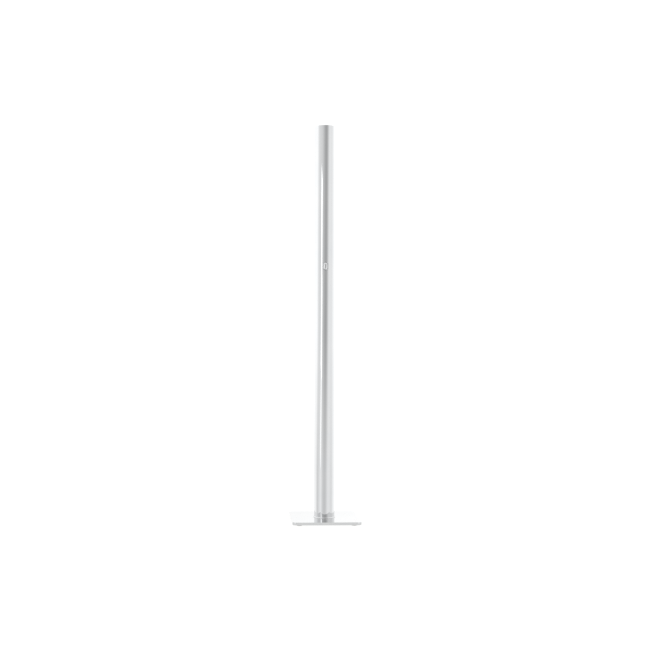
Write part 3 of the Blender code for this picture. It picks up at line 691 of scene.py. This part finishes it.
BEFORE_TUBE, IN_BORE = -60 * MM, -20 * MM  # a cutter's ends, either side of the tube's front wall
window = stadium_block(bezel_size.x + 2 * GAP, bezel_size.z + 2 * GAP, BEFORE_TUBE, IN_BORE)
SINK_WIDE, SINK_NARROW = 7.6 * MM, 2 * MM  # radii at the ends of a countersink's cone
SINK_REACH = 2.8 * MM  # from the tube's outer face to each end
sinks = [
    drill(SINK_WIDE, (0, column_radius + SINK_REACH, z), (0, column_radius - SINK_REACH, z), 48, SINK_NARROW)
    for z in screw_levels()
]
cut(column, [window, *sinks])
smooth(column)
round_the_wall(column, column_radius)
fit(column, tube_chrome, STAND, "polished_chrome", "column_tube")

# %% [markdown]
# ## The foot
#
# The plate is a 12 mm slab with rounded corners and a small polished bevel. Its top must stay dead flat, or
# the column's mirror image in it would bend. The screw heads sit in cones on its underside. A turned collar
# with a crowned top hides the joint between tube and plate.

# %% Foot plate and collar
plate_low, plate_high, plate_size = extent("base_plate")
CORNER_RADIUS = 20 * MM


def rounded_square(half, radius, steps=12):
    """The outline of a square with round corners, anticlockwise from above."""
    points = []
    for quarter in range(4):
        start = math.pi / 2 * quarter
        x = (half - radius) * (1 if quarter in (0, 3) else -1)
        y = (half - radius) * (1 if quarter in (0, 1) else -1)
        angles = [start + math.pi / 2 * i / steps for i in range(steps + 1)]
        points += [(x + radius * math.cos(a), y + radius * math.sin(a)) for a in angles]
    return points


bm = bmesh.new()
outline = rounded_square(plate_size.x / 2, CORNER_RADIUS)
lower = [bm.verts.new((x, y, plate_low.z)) for x, y in outline]
upper = [bm.verts.new((x, y, plate_high.z)) for x, y in outline]
bm.faces.new(lower[::-1])
bm.faces.new(upper)
for i in range(len(outline)):
    j = (i + 1) % len(outline)
    bm.faces.new((lower[i], lower[j], upper[j], upper[i]))
plate = object_from("foot_plate", bm)


CORNERS = [f"{depth}_{side}" for depth in ("front", "rear") for side in ("left", "right")]


def middles(stem):
    """The middle of each of the four parts with this stem."""
    boxes = [extent(f"{stem}_{label}") for label in CORNERS]
    return [(low + high) / 2 for low, high, size in boxes]


plug_screws, foot_screws = middles("plug_screw"), middles("foot_screw")
PLUG_SCREW_HOLE, FOOT_SCREW_HOLE = 4.3 * MM, 2.8 * MM  # radii
SINK_DEPTH = 5.7 * MM
sink_foot, sink_top = plate_low.z - SINK_DEPTH, plate_low.z + SINK_DEPTH
cutters = [drill(PLUG_SCREW_HOLE, (p.x, p.y, 0), (p.x, p.y, 30 * MM)) for p in plug_screws]
cutters += [
    drill(9.7 * MM + SINK_DEPTH, (p.x, p.y, sink_foot), (p.x, p.y, sink_top), 48, 4 * MM)
    for p in plug_screws
]
cutters += [drill(FOOT_SCREW_HOLE, (p.x, p.y, 0), (p.x, p.y, plate_low.z + 8 * MM)) for p in foot_screws]
smooth(cut(plate, cutters), bevel=0.9 * MM, segments=4)
fit(plate, plate_chrome, STAND, "polished_chrome", "base_plate")

crown = 3.3 * MM
collar_radius = ring_size.x / 2
profile = arc((collar_radius - crown, ring_high.z - crown), crown, 90, 0, 8)
collar_bore, bore_break = column_radius + GAP, 0.4 * MM
profile += [(collar_radius, ring_low.z), (collar_bore, ring_low.z)]
profile += [(collar_bore, ring_high.z - bore_break), (collar_bore + bore_break, ring_high.z)]
collar = smooth(lathe("foot_collar", profile, steps=256))
fit(collar, small_chrome, STAND, "polished_chrome", "foot_ring")

# %% [markdown]
# ## The push-button and its bezel
#
# The button is a pillow: an upright outline with round ends whose face swells like part of an egg. It could
# be a subdivided box, but its rule is simple, so it is built ring by ring. Each ring is the outline shrunk a
# little, and the egg's formula gives every point its depth.
#
# The bezel follows a path on a curved surface, which is work for Geometry Nodes. The path is the window's
# outline. The tree sweeps a low dome along it, and then wraps the flat result onto the column.

# %% Push-button
button_low, button_high, button_size = extent("push_button")
button_face = button_low.y
BEZEL_FRAME = 2.6 * MM
cap_width, cap_height = [side - 2 * BEZEL_FRAME - 2 * GAP for side in (bezel_size.x, bezel_size.z)]
EGG = Vector((12 * MM, 8 * MM, 22 * MM))  # half of the egg's width, depth and height


def egg_depth(x, z):
    """How far the egg's surface lies behind its tip."""
    return EGG.y * (1 - math.sqrt(max(0, 1 - (x / EGG.x) ** 2 - (z / EGG.z) ** 2)))


flange_front, flange_back, stem_back = -40.7 * MM, -38.7 * MM, button_high.y
bm = bmesh.new()
outline = stadium(cap_width, cap_height, steps=20)
edge_break = 0.5 * MM
loops = []
for shrink in [1, 0.995, 0.985, 0.965] + [0.93 - 0.93 * i / 12 for i in range(12)]:
    inset = [(x * shrink, z * shrink) for x, z in outline]
    rounding = edge_break * max(0, 1 - (1 - shrink) / 0.035) ** 2
    loops.append([(x, button_face + egg_depth(x, z) + rounding, z) for x, z in inset])
loops.insert(0, [(x, flange_front, z) for x, z in outline])
rings_of_points = [[bm.verts.new((x, y, latch_level + z)) for x, y, z in loop] for loop in loops]
for outer, inner in zip(rings_of_points, rings_of_points[1:]):
    for i in range(len(outline)):
        j = (i + 1) % len(outline)
        bm.faces.new((outer[i], outer[j], inner[j], inner[i]))
bm.faces.new(rings_of_points[-1])
bm.faces.new(rings_of_points[0][::-1])
bmesh.ops.recalc_face_normals(bm, faces=bm.faces)
button = object_from("push_button_cap", bm)
flange = stadium_block(button_size.x, button_size.z, flange_front - 0.1 * MM, flange_back)
stem_size = Vector((14 * MM, stem_back - flange_back + 0.2 * MM, 10 * MM))
stem = cuboid("stem", stem_size, (0, stem_back - stem_size.y / 2, latch_level))
cut(button, [flange, stem], "UNION")
slot_front = -37.3 * MM
slot_size = Vector((30 * MM, 12 * MM, 4.6 * MM))
slot = cuboid("slot", slot_size, (0, slot_front + slot_size.y / 2, latch_level))
pin_low, pin_high, pin_size = extent("button_pin")
pin_y = ((pin_low + pin_high) / 2).y
pin_ends = [(0, pin_y, latch_level + side * 10 * MM) for side in (-1, 1)]
cut(button, [slot, drill(pin_size.x / 2 + GAP, *pin_ends)])
smooth(button)
fit(button, small_chrome, CATCH, "polished_chrome", "push_button")

# %% Bezel, with Geometry Nodes
def new_tree(name, **inputs):
    """A Geometry Nodes tree with these named inputs, each given by its socket type."""
    tree = bpy.data.node_groups.new(name, "GeometryNodeTree")
    tree.interface.new_socket("Geometry", in_out="INPUT", socket_type="NodeSocketGeometry")
    for label, kind in inputs.items():
        tree.interface.new_socket(label.replace("_", " "), in_out="INPUT", socket_type="NodeSocket" + kind)
    tree.interface.new_socket("Geometry", in_out="OUTPUT", socket_type="NodeSocketGeometry")
    return tree, put(tree, "NodeGroupInput").outputs


def finish_tree(tree, geometry, material):
    """Ends a tree in real mesh with its material."""
    realized = put(tree, "GeometryNodeRealizeInstances", {"Geometry": geometry})
    shown = put(tree, "GeometryNodeSetMaterial", {"Geometry": realized, "Material": material})
    put(tree, "NodeGroupOutput", {"Geometry": shown})


def run_tree(name, tree, mesh, values):
    """Runs a tree on a mesh, with its inputs set by their identifiers, and keeps the plain result."""
    obj = new_object(name, mesh)
    modifier = obj.modifiers.new(tree.name, "NODES")
    modifier.node_group = tree
    for item in tree.interface.items_tree:
        if item.item_type == "SOCKET" and item.in_out == "INPUT" and item.name in values:
            modifier[item.identifier] = values[item.name]
    bake(obj)
    return smooth(obj)


sizes = {"Frame_width": "Float", "Column_radius": "Float", "Proud": "Float", "Depth": "Float"}
tree, given = new_tree("bezel_on_a_column", **sizes, Material="Material")
# The outline arrives as a closed loop of edges, flat in X and Z, at the latch's height.
path = put(tree, "GeometryNodeMeshToCurve", {"Mesh": given["Geometry"]})
# The profile is a circle. Its width becomes the frame's, and it is squeezed when it is wrapped.
half_width = put(tree, "ShaderNodeMath", {0: given["Frame width"], 1: 0.5}, operation="MULTIPLY")
section = put(tree, "GeometryNodeCurvePrimitiveCircle", {"Resolution": 24, "Radius": half_width})
swept = put(tree, "GeometryNodeCurveToMesh", {"Curve": path, "Profile Curve": section})
# A point's own depth, from -half width to half width, says how high it stands on the wrapped frame.
here = put(tree, "ShaderNodeSeparateXYZ", {0: put(tree, "GeometryNodeInputPosition").outputs[0]})
outward = put(tree, "ShaderNodeMath", {0: here.outputs["Y"], 1: half_width}, operation="DIVIDE")
limits = {"From Min": 1, "From Max": -1, "To Min": given["Depth"], "To Max": given["Proud"]}
height = put(tree, "ShaderNodeMapRange", {"Value": outward, **limits})
radius = put(tree, "ShaderNodeMath", {0: given["Column radius"], 1: height}, operation="ADD")
radius_squared = put(tree, "ShaderNodeMath", {0: radius, 1: 2}, operation="POWER")
x_squared = put(tree, "ShaderNodeMath", {0: here.outputs["X"], 1: 2}, operation="POWER")
rest = put(tree, "ShaderNodeMath", {0: radius_squared, 1: x_squared}, operation="SUBTRACT")
reach = put(tree, "ShaderNodeMath", {0: rest}, operation="SQRT")
forward = put(tree, "ShaderNodeMath", {0: reach, 1: -1}, operation="MULTIPLY")
axes = {"X": here.outputs["X"], "Y": forward, "Z": here.outputs["Z"]}
wrapped = put(tree, "ShaderNodeCombineXYZ", axes)
placed = put(tree, "GeometryNodeSetPosition", {"Geometry": swept, "Position": wrapped})
finish_tree(tree, placed, given["Material"])

outline = stadium(bezel_size.x - BEZEL_FRAME, bezel_size.z - BEZEL_FRAME, steps=24)
mesh = bpy.data.meshes.new("button_bezel_frame")
count = len(outline)
links = [(i, (i + 1) % count) for i in range(count)]
mesh.from_pydata([(x, 0, latch_level + z) for x, z in outline], links, [])
proud = -bezel_low.y - column_radius
values = {"Frame width": BEZEL_FRAME, "Column radius": column_radius, "Proud": proud, "Depth": -2.4 * MM}
bezel = run_tree("button_bezel_frame", tree, mesh, {**values, "Material": small_chrome})
fit(bezel, small_chrome, STAND, "polished_chrome", "button_bezel")

# %% [markdown]
# ## The socket in the column's mouth
#
# Seen from above, the mouth is a black bush with a funnel, and below it a pale sleeve that the pole runs
# down. Both are turned parts. The funnel is a smooth curve here, so that a pole's tip never catches.

# %% Bush, sleeve, stop disc and pad
SLEEVE_WALL = 2.2 * MM
bush_bore = (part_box("pole_sleeve")[1].x - SLEEVE_WALL) - 0.5 * MM
seat_radius, seat_level = sleeve_size.x / 2 + GAP, sleeve_high.z + GAP
funnel = 5 * MM
outer_radius = bush_size.x / 2
profile = [(outer_radius - 1 * MM, bush_high.z), (outer_radius, bush_high.z - 1 * MM)]
profile += [(outer_radius, bush_low.z), (seat_radius, bush_low.z)]
profile += [(seat_radius, seat_level), (bush_bore, seat_level)]
profile += arc((bush_bore + funnel, bush_high.z - funnel), funnel, 180, 90, 10)
groove = outer_radius - 9 * MM
profile += [(groove - 1 * MM, bush_high.z), (groove, bush_high.z - 1 * MM), (groove + 1 * MM, bush_high.z)]
bush = lathe("mouth_bush", profile)
screw_z = screw_levels()[2]
cut(bush, [drill(2.3 * MM, (0, 0.03, screw_z), (0, 0.05, screw_z))])
fit(smooth(bush), acetal, STAND, "black_acetal", "top_bush")

sleeve_radius = sleeve_size.x / 2
profile = ring_profile(sleeve_radius, sleeve_radius - SLEEVE_WALL, sleeve_low.z, sleeve_high.z, 0.3 * MM)
fit(smooth(lathe("pole_sleeve_tube", profile)), aluminium, STAND, "drawn_aluminium", "pole_sleeve")

pad_low, pad_high, pad_size = extent("stop_pad")
disc_low, disc_high, disc_size = extent("stop_disc")
drain = 3 * MM
pad_radius = pad_size.x / 2
edge = groove_half = 0.8 * MM
profile = [(pad_radius - edge, pad_high.z), (pad_radius, pad_high.z - edge), (pad_radius, pad_low.z)]
profile += [(drain, pad_low.z), (drain, pad_high.z)]
for i in range(4):  # shallow moulded rings keep the pole's end from sticking
    middle = drain + (pad_radius - drain) * (i + 1) / 5
    groove = [(middle - groove_half, 0), (middle, -0.6 * MM), (middle + groove_half, 0)]
    profile += [(r, pad_high.z + sunk) for r, sunk in groove]
fit(smooth(lathe("pole_rest_pad", profile, 96)), rubber, STAND, "rubber", "stop_pad")

housing_screws = middles("housing_screw")
stop_disc = lathe("stop_plate", ring_profile(disc_size.x / 2, drain, disc_low.z, disc_high.z, 0.6 * MM), 96)
under, over = disc_low.z - 10 * MM, disc_high.z + 10 * MM
cut(stop_disc, [drill(2.3 * MM, (p.x, p.y, under), (p.x, p.y, over)) for p in housing_screws])
fit(smooth(stop_disc), steel, STAND, "turned_steel", "stop_disc")

# %% [markdown]
# ## Parts whose solid is already right
#
# The catch's housing, its latch plate, the plug and the pin already have their true shapes. Each gets a
# copy of its mesh with the loose corners joined, and smooth shading on the round walls. The pin's edges are
# broken too, as a machinist would.

# %% Housing, latch plate, plug and pin
def refined(node, name, bevel):
    """A copy of a part's mesh, joined up, and with its edges broken if a bevel is given."""
    bm = bmesh.new()
    bm.from_mesh(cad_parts[node].data)
    bmesh.ops.remove_doubles(bm, verts=bm.verts, dist=0.01 * MM)
    flat_enough = math.radians(1)
    bmesh.ops.dissolve_limit(bm, angle_limit=flat_enough, verts=bm.verts, edges=bm.edges)
    return smooth(object_from(name, bm), bevel)


for half in ("lower", "upper"):
    node = f"catch_housing_{half}"
    block = refined(node, f"catch_block_{half}", 0)
    round_the_wall(block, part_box(node)[1].x)
    fit(block, acetal, STAND, "black_acetal", node)
fit(refined("latch_plate", "latch_slide", 0), steel, CATCH, "turned_steel", "latch_plate")
fit(refined("button_pin", "button_pin_pressed", 0.2 * MM), steel, CATCH, "turned_steel", "button_pin")
fit(refined("column_plug", "foot_plug", 0), steel, STAND, "turned_steel", "column_plug")

# %% [markdown]
# ## Ballast
#
# Out of sight, three iron discs keep the stand from tipping. Each has a raised rim and a hub with a dished
# face between them, as such castings have.

# %% Ballast discs
for number in (1, 2, 3):
    node = f"ballast_disc_{number}"
    low, high, size = extent(node)
    radius, bore = size.x / 2, 7 * MM
    edge, dish = 2 * MM, 3 * MM
    outside = ring_profile(radius, bore, low.z, high.z, edge)[:4]
    under = [(radius - 4 * edge, low.z), (radius - 5 * edge, low.z + dish)]
    under += [(bore + 3 * edge, low.z + dish), (bore + 2 * edge, low.z), (bore, low.z)]
    over = [(r, high.z - (z - low.z)) for r, z in under[::-1]]
    casting = smooth(lathe(f"ballast_casting_{number}", outside + under + over, 96))
    fit(casting, iron, STAND, "cast_iron", node)

washer_low, washer_high, washer_size = extent("ballast_washer")
rod_low, rod_high, rod_size = extent("ballast_rod")
nut_low, nut_high, nut_size = extent("ballast_nut")
radius, bore, chamfer = washer_size.x / 2, rod_size.x / 2 + GAP, 0.4 * MM
profile = [(radius - chamfer, washer_high.z), (radius, washer_high.z - chamfer), (radius, washer_low.z)]
profile += [(bore, washer_low.z), (bore, washer_high.z)]
fit(smooth(lathe("ballast_washer_plain", profile, 64)), zinc, STAND, "zinc_plated_steel", "ballast_washer")

# A hexagon nut is a prism whose corners are turned off by a cone above and below.
nut_radius = max(nut_size.x, nut_size.y) / 2
flats = nut_radius * math.cos(math.pi / 6)
rise = (nut_radius - flats) * math.tan(math.radians(30))
turned_off = [
    (flats - 0.3 * MM, nut_high.z),
    (nut_radius + 0.3 * MM, nut_high.z - rise - 0.35 * MM),
    (nut_radius + 0.3 * MM, nut_low.z + rise + 0.35 * MM),
    (flats - 0.3 * MM, nut_low.z),
]
turned_off = [(0, nut_high.z + 0.1 * MM), *turned_off, (0, nut_low.z - 0.1 * MM)]
nut = refined("ballast_nut", "ballast_nut_hexagon", 0)
cut(nut, [lathe("cones", turned_off, 64, closed=False)], "INTERSECT")
fit(smooth(nut), zinc, STAND, "zinc_plated_steel", "ballast_nut")

# %% [markdown]
# ## Screws, with Geometry Nodes
#
# Fifteen screws and one long rod share a thread. A thread is a ridge along a helix, so the tree sweeps a
# small three-sided profile along a spiral. One tree draws a whole screw from its sizes: the shank, the
# thread, a conical or straight head, and the hexagon socket cut into it. The screws' places come in as the
# points of a mesh, and the tree puts one screw on each point.

# %% Threads
def raised(tree, geometry, height):
    """Moves a shape in a tree up by this height."""
    offset = put(tree, "ShaderNodeCombineXYZ", {"Z": height})
    return put(tree, "GeometryNodeTransform", {"Geometry": geometry, "Translation": offset})


def add_thread(tree, radius, pitch, length, start):
    """Sweeps a ridge down a helix from the start height. Gives the ridge and the core's radius."""
    turns = put(tree, "ShaderNodeMath", {0: length, 1: pitch}, operation="DIVIDE")
    ridge = put(tree, "ShaderNodeMath", {0: pitch, 1: 0.5}, operation="MULTIPLY")
    core = put(tree, "ShaderNodeMath", {0: radius, 1: ridge}, operation="SUBTRACT")
    path = {"Resolution": 20, "Rotations": turns, "Start Radius": core, "End Radius": core, "Height": length}
    helix = put(tree, "GeometryNodeCurveSpiral", path)
    section = put(tree, "GeometryNodeCurvePrimitiveCircle", {"Resolution": 3, "Radius": ridge})
    curves = {"Curve": helix, "Profile Curve": section, "Fill Caps": True}
    swept = put(tree, "GeometryNodeCurveToMesh", curves)
    lower = put(tree, "ShaderNodeMath", {0: start, 1: length}, operation="SUBTRACT")
    return raised(tree, swept, lower), core


def joined(tree, parts):
    """Joins shapes in a tree."""
    whole = put(tree, "GeometryNodeJoinGeometry")
    for part in parts:
        tree.links.new(part, whole.inputs[0])
    return whole


# %% The screw's tree
CORE_TOP = 0.8  # the core starts this share of the head's height down, under the floor of its socket
TIP_WIDE, TIP_NARROW = 0.98, 0.55  # the end cone's radii, as shares of the core's
# The key is centred on the head's face, so half of its length cuts in.
KEY_RADIUS, KEY_LENGTH = 0.6, 1.3  # shares of the head's radius and of its height
lengths = ("Radius", "Length", "Pitch", "Head_radius", "Neck_radius", "Head_height")
sizes = dict.fromkeys(lengths, "Float")
tree, given = new_tree("threaded_screw", **sizes, Turn="Vector", Material="Material")
tip = put(tree, "ShaderNodeMath", {0: given["Radius"], 1: 0.5}, operation="MULTIPLY")
below_head = put(tree, "ShaderNodeMath", {0: given["Head height"], 1: -1}, operation="MULTIPLY")
threaded = put(tree, "ShaderNodeMath", {0: given["Length"], 1: given["Head height"]}, operation="SUBTRACT")
threaded = put(tree, "ShaderNodeMath", {0: threaded, 1: tip}, operation="SUBTRACT")
thread, core_radius = add_thread(tree, given["Radius"], given["Pitch"], threaded, below_head)
core_top = put(tree, "ShaderNodeMath", {0: given["Head height"], 1: CORE_TOP}, operation="MULTIPLY")
core_end = put(tree, "ShaderNodeMath", {0: given["Length"], 1: tip}, operation="SUBTRACT")
core_length = put(tree, "ShaderNodeMath", {0: core_end, 1: core_top}, operation="SUBTRACT")
core = put(tree, "GeometryNodeMeshCylinder", {"Vertices": 24, "Radius": core_radius, "Depth": core_length})
both_ends = put(tree, "ShaderNodeMath", {0: core_top, 1: core_end}, operation="ADD")
half_down = put(tree, "ShaderNodeMath", {0: both_ends, 1: -0.5}, operation="MULTIPLY")
core = raised(tree, core, half_down)
narrow = put(tree, "ShaderNodeMath", {0: core_radius, 1: TIP_NARROW}, operation="MULTIPLY")
wide = put(tree, "ShaderNodeMath", {0: core_radius, 1: TIP_WIDE}, operation="MULTIPLY")
cone = {"Vertices": 24, "Radius Top": wide, "Radius Bottom": narrow, "Depth": tip}
point = put(tree, "GeometryNodeMeshCone", cone)
bottom = put(tree, "ShaderNodeMath", {0: given["Length"], 1: -1}, operation="MULTIPLY")
point = raised(tree, point, bottom)
cone = {"Vertices": 48, "Radius Top": given["Head radius"], "Radius Bottom": given["Neck radius"]}
head = put(tree, "GeometryNodeMeshCone", {**cone, "Depth": given["Head height"]})
head = raised(tree, head, below_head)
key_radius = put(tree, "ShaderNodeMath", {0: given["Head radius"], 1: KEY_RADIUS}, operation="MULTIPLY")
key_length = put(tree, "ShaderNodeMath", {0: given["Head height"], 1: KEY_LENGTH}, operation="MULTIPLY")
key = put(tree, "GeometryNodeMeshCylinder", {"Vertices": 6, "Radius": key_radius, "Depth": key_length})
head = put(tree, "GeometryNodeMeshBoolean", {"Mesh 1": head, "Mesh 2": key}, operation="DIFFERENCE")
whole = joined(tree, [part.outputs[0] for part in (head, core, point, thread)])
placing = {"Points": given["Geometry"], "Instance": whole, "Rotation": given["Turn"]}
screws = put(tree, "GeometryNodeInstanceOnPoints", placing)
finish_tree(tree, screws, given["Material"])
screw_tree = tree
print(f"screw tree with {len(tree.nodes)} nodes")


# %% Screws in their places
def screw_set(name, places, sizes, turn, nodes):
    """One piece that holds a screw at each place. sizes are in millimetres, in the order of lengths."""
    mesh = bpy.data.meshes.new(name)
    mesh.from_pydata(places, [], [])
    values = {key.replace("_", " "): value * MM for key, value in zip(lengths, sizes)}
    piece = run_tree(name, screw_tree, mesh, {**values, "Turn": turn, "Material": zinc})
    fit(piece, zinc, STAND, "zinc_plated_steel", *nodes)


upside_down = (math.pi, 0, 0)
for stem, centres, sizes in (
    ("plug_screw", plug_screws, (4, 26, 1.25, 8, 4, 4.4)),
    ("foot_screw", foot_screws, (2.5, 12.5, 0.8, 4.8, 4.8, 2.3)),
    ("housing_screw", housing_screws, (2, 56, 0.7, 3.5, 3.5, 3)),
):
    nodes = [f"{stem}_{label}" for label in CORNERS]
    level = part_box(nodes[0])[0].z
    screw_set(stem + "s", [(p.x, p.y, level) for p in centres], sizes, upside_down, nodes)
head_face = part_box("socket_screw_bush")[1].y
facing_back = (-math.pi / 2, 0, 0)
nodes = [f"socket_screw_{label}" for label in BACK_SCREWS]
places = [(0, head_face, z) for z in screw_levels()]
screw_set("socket_screws", places, (2, 13, 0.7, 3.8, 2, 2.1), facing_back, nodes)

# %% Threaded ballast rod
sizes = dict.fromkeys(lengths[:3], "Float")
tree, given = new_tree("threaded_rod", **sizes, Material="Material")
thread, core_radius = add_thread(tree, given["Radius"], given["Pitch"], given["Length"], 0.0)
cylinder = {"Vertices": 32, "Radius": core_radius, "Depth": given["Length"]}
core = put(tree, "GeometryNodeMeshCylinder", cylinder)
half_down = put(tree, "ShaderNodeMath", {0: given["Length"], 1: -0.5}, operation="MULTIPLY")
core = raised(tree, core, half_down)
whole = joined(tree, [core.outputs[0], thread.outputs[0]])
rods = put(tree, "GeometryNodeInstanceOnPoints", {"Points": given["Geometry"], "Instance": whole})
finish_tree(tree, rods, given["Material"])
mesh = bpy.data.meshes.new("ballast_rod_threaded")
end_gap = 1 * MM
mesh.from_pydata([(0, 0, rod_high.z - end_gap)], [], [])
values = {"Radius": rod_size.x / 2, "Length": rod_size.z - 2 * end_gap, "Pitch": 1.75 * MM, "Material": zinc}
rod = run_tree("ballast_rod_threaded", tree, mesh, values)
fit(rod, zinc, STAND, "zinc_plated_steel", "ballast_rod")

# %% [markdown]
# ## The catch's springs
#
# A compression spring is a helix whose last turns close up so that it stands square. The tree draws an even
# spiral and then moves each point along the axis by a sine rule, so that the pitch is small at both ends
# and wide in the middle. On the real catch the springs flatten towards the housing behind them when the
# button is pressed. Here they keep this one length.

# %% Springs
sizes = dict.fromkeys(("Coil_radius", "Wire_radius", "Turns", "Length"), "Float")
tree, given = new_tree("compression_spring", **sizes, Turn="Vector", Material="Material")
path = {"Resolution": 32, "Rotations": given["Turns"], "Height": given["Length"]}
path |= {"Start Radius": given["Coil radius"], "End Radius": given["Coil radius"]}
spiral = put(tree, "GeometryNodeCurveSpiral", path)
along = put(tree, "GeometryNodeSplineParameter").outputs["Factor"]
angle = put(tree, "ShaderNodeMath", {0: along, 1: 2 * math.pi}, operation="MULTIPLY")
wave = put(tree, "ShaderNodeMath", {0: angle}, operation="SINE")
CLOSING = -0.7 / (2 * math.pi)  # the share of the even pitch that the end turns give up
shift = put(tree, "ShaderNodeMath", {0: wave, 1: CLOSING}, operation="MULTIPLY")
shift = put(tree, "ShaderNodeMath", {0: shift, 1: given["Length"]}, operation="MULTIPLY")
offset = put(tree, "ShaderNodeCombineXYZ", {"Z": shift})
spiral = put(tree, "GeometryNodeSetPosition", {"Geometry": spiral, "Offset": offset})
wire = put(tree, "GeometryNodeCurvePrimitiveCircle", {"Resolution": 12, "Radius": given["Wire radius"]})
curves = {"Curve": spiral, "Profile Curve": wire, "Fill Caps": True}
coil = put(tree, "GeometryNodeCurveToMesh", curves)
placing = {"Points": given["Geometry"], "Instance": coil, "Rotation": given["Turn"]}
coils = put(tree, "GeometryNodeInstanceOnPoints", placing)
finish_tree(tree, coils, given["Material"])

WIRE = 0.4 * MM
for side in ("left", "right"):
    node = f"catch_spring_{side}"
    low, high, size = extent(node)
    middle = (low + high) / 2
    mesh = bpy.data.meshes.new(node)
    mesh.from_pydata([(middle.x, low.y + WIRE, middle.z)], [], [])
    values = {
        "Coil radius": size.x / 2 - WIRE,
        "Wire radius": WIRE,
        "Turns": 6.0,
        "Length": size.y - 2 * WIRE,
        "Turn": facing_back,
        "Material": zinc,
    }
    spring = run_tree(f"latch_spring_{side}", tree, mesh, values)
    fit(spring, zinc, STAND, "zinc_plated_steel", node)
    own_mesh(spring)

# %% [markdown]
# ## Glides
#
# The four rubber glides are turned in outline, with a ring of small moulded ribs that a fingertip can grip.
# One glide is turned once. The tree then repeats a rib round it, and repeats the ribbed glide at the plate's
# four corners, which it reads as points.

# %% Glides
glide_low, glide_high, glide_size = extent("foot_pad_front_left")
glide_radius, glide_height = glide_size.x / 2 - 0.6 * MM, glide_high.z
head_room, shank_room = 5.4 * MM, FOOT_SCREW_HOLE
seat_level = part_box("foot_screw_front_left")[0].z + 2.6 * MM
profile = [(glide_radius - 1.5 * MM, glide_height)]
profile += arc((glide_radius - 1 * MM, glide_height - 1.8 * MM), 1 * MM, 60, 0, 3)
profile += arc((glide_radius - 1 * MM, 1 * MM), 1 * MM, 0, -90, 4)
profile += [(head_room, 0), (head_room, seat_level), (shank_room, seat_level), (shank_room, glide_height)]
glide = lathe("glide_body", profile, steps=64)
sizes = dict.fromkeys(("Ring_radius", "Rib_height", "Spread"), "Float")
tree, given = new_tree("ribbed_glides", **sizes, Material="Material")
ring = put(tree, "GeometryNodeMeshCircle", {"Vertices": 36, "Radius": given["Ring radius"]})
rib_size = put(tree, "ShaderNodeCombineXYZ", {"X": 1.2 * MM, "Y": 0.9 * MM, "Z": given["Rib height"]})
rib = put(tree, "GeometryNodeMeshCube", {"Size": rib_size})
outward = put(tree, "GeometryNodeInputPosition").outputs[0]
facing = put(tree, "FunctionNodeAlignRotationToVector", {"Vector": outward}, axis="X")
ribs = put(tree, "GeometryNodeInstanceOnPoints", {"Points": ring, "Instance": rib, "Rotation": facing})
ribs = raised(tree, ribs, glide_height / 2 - 0.1 * MM)
ribbed = joined(tree, [given["Geometry"], ribs.outputs[0]])
square = {"Size X": given["Spread"], "Size Y": given["Spread"], "Vertices X": 2, "Vertices Y": 2}
corners = put(tree, "GeometryNodeMeshGrid", square)
glides = put(tree, "GeometryNodeInstanceOnPoints", {"Points": corners, "Instance": ribbed})
finish_tree(tree, glides, given["Material"])
spread = foot_screws[1].x - foot_screws[0].x
values = {"Ring radius": glide_radius, "Rib height": 2.4 * MM, "Spread": spread, "Material": rubber}
glide_mesh = glide.data
bpy.data.objects.remove(glide)
glides = run_tree("rubber_glides", tree, glide_mesh, values)
fit(glides, rubber, STAND, "rubber", *[f"foot_pad_{label}" for label in CORNERS])
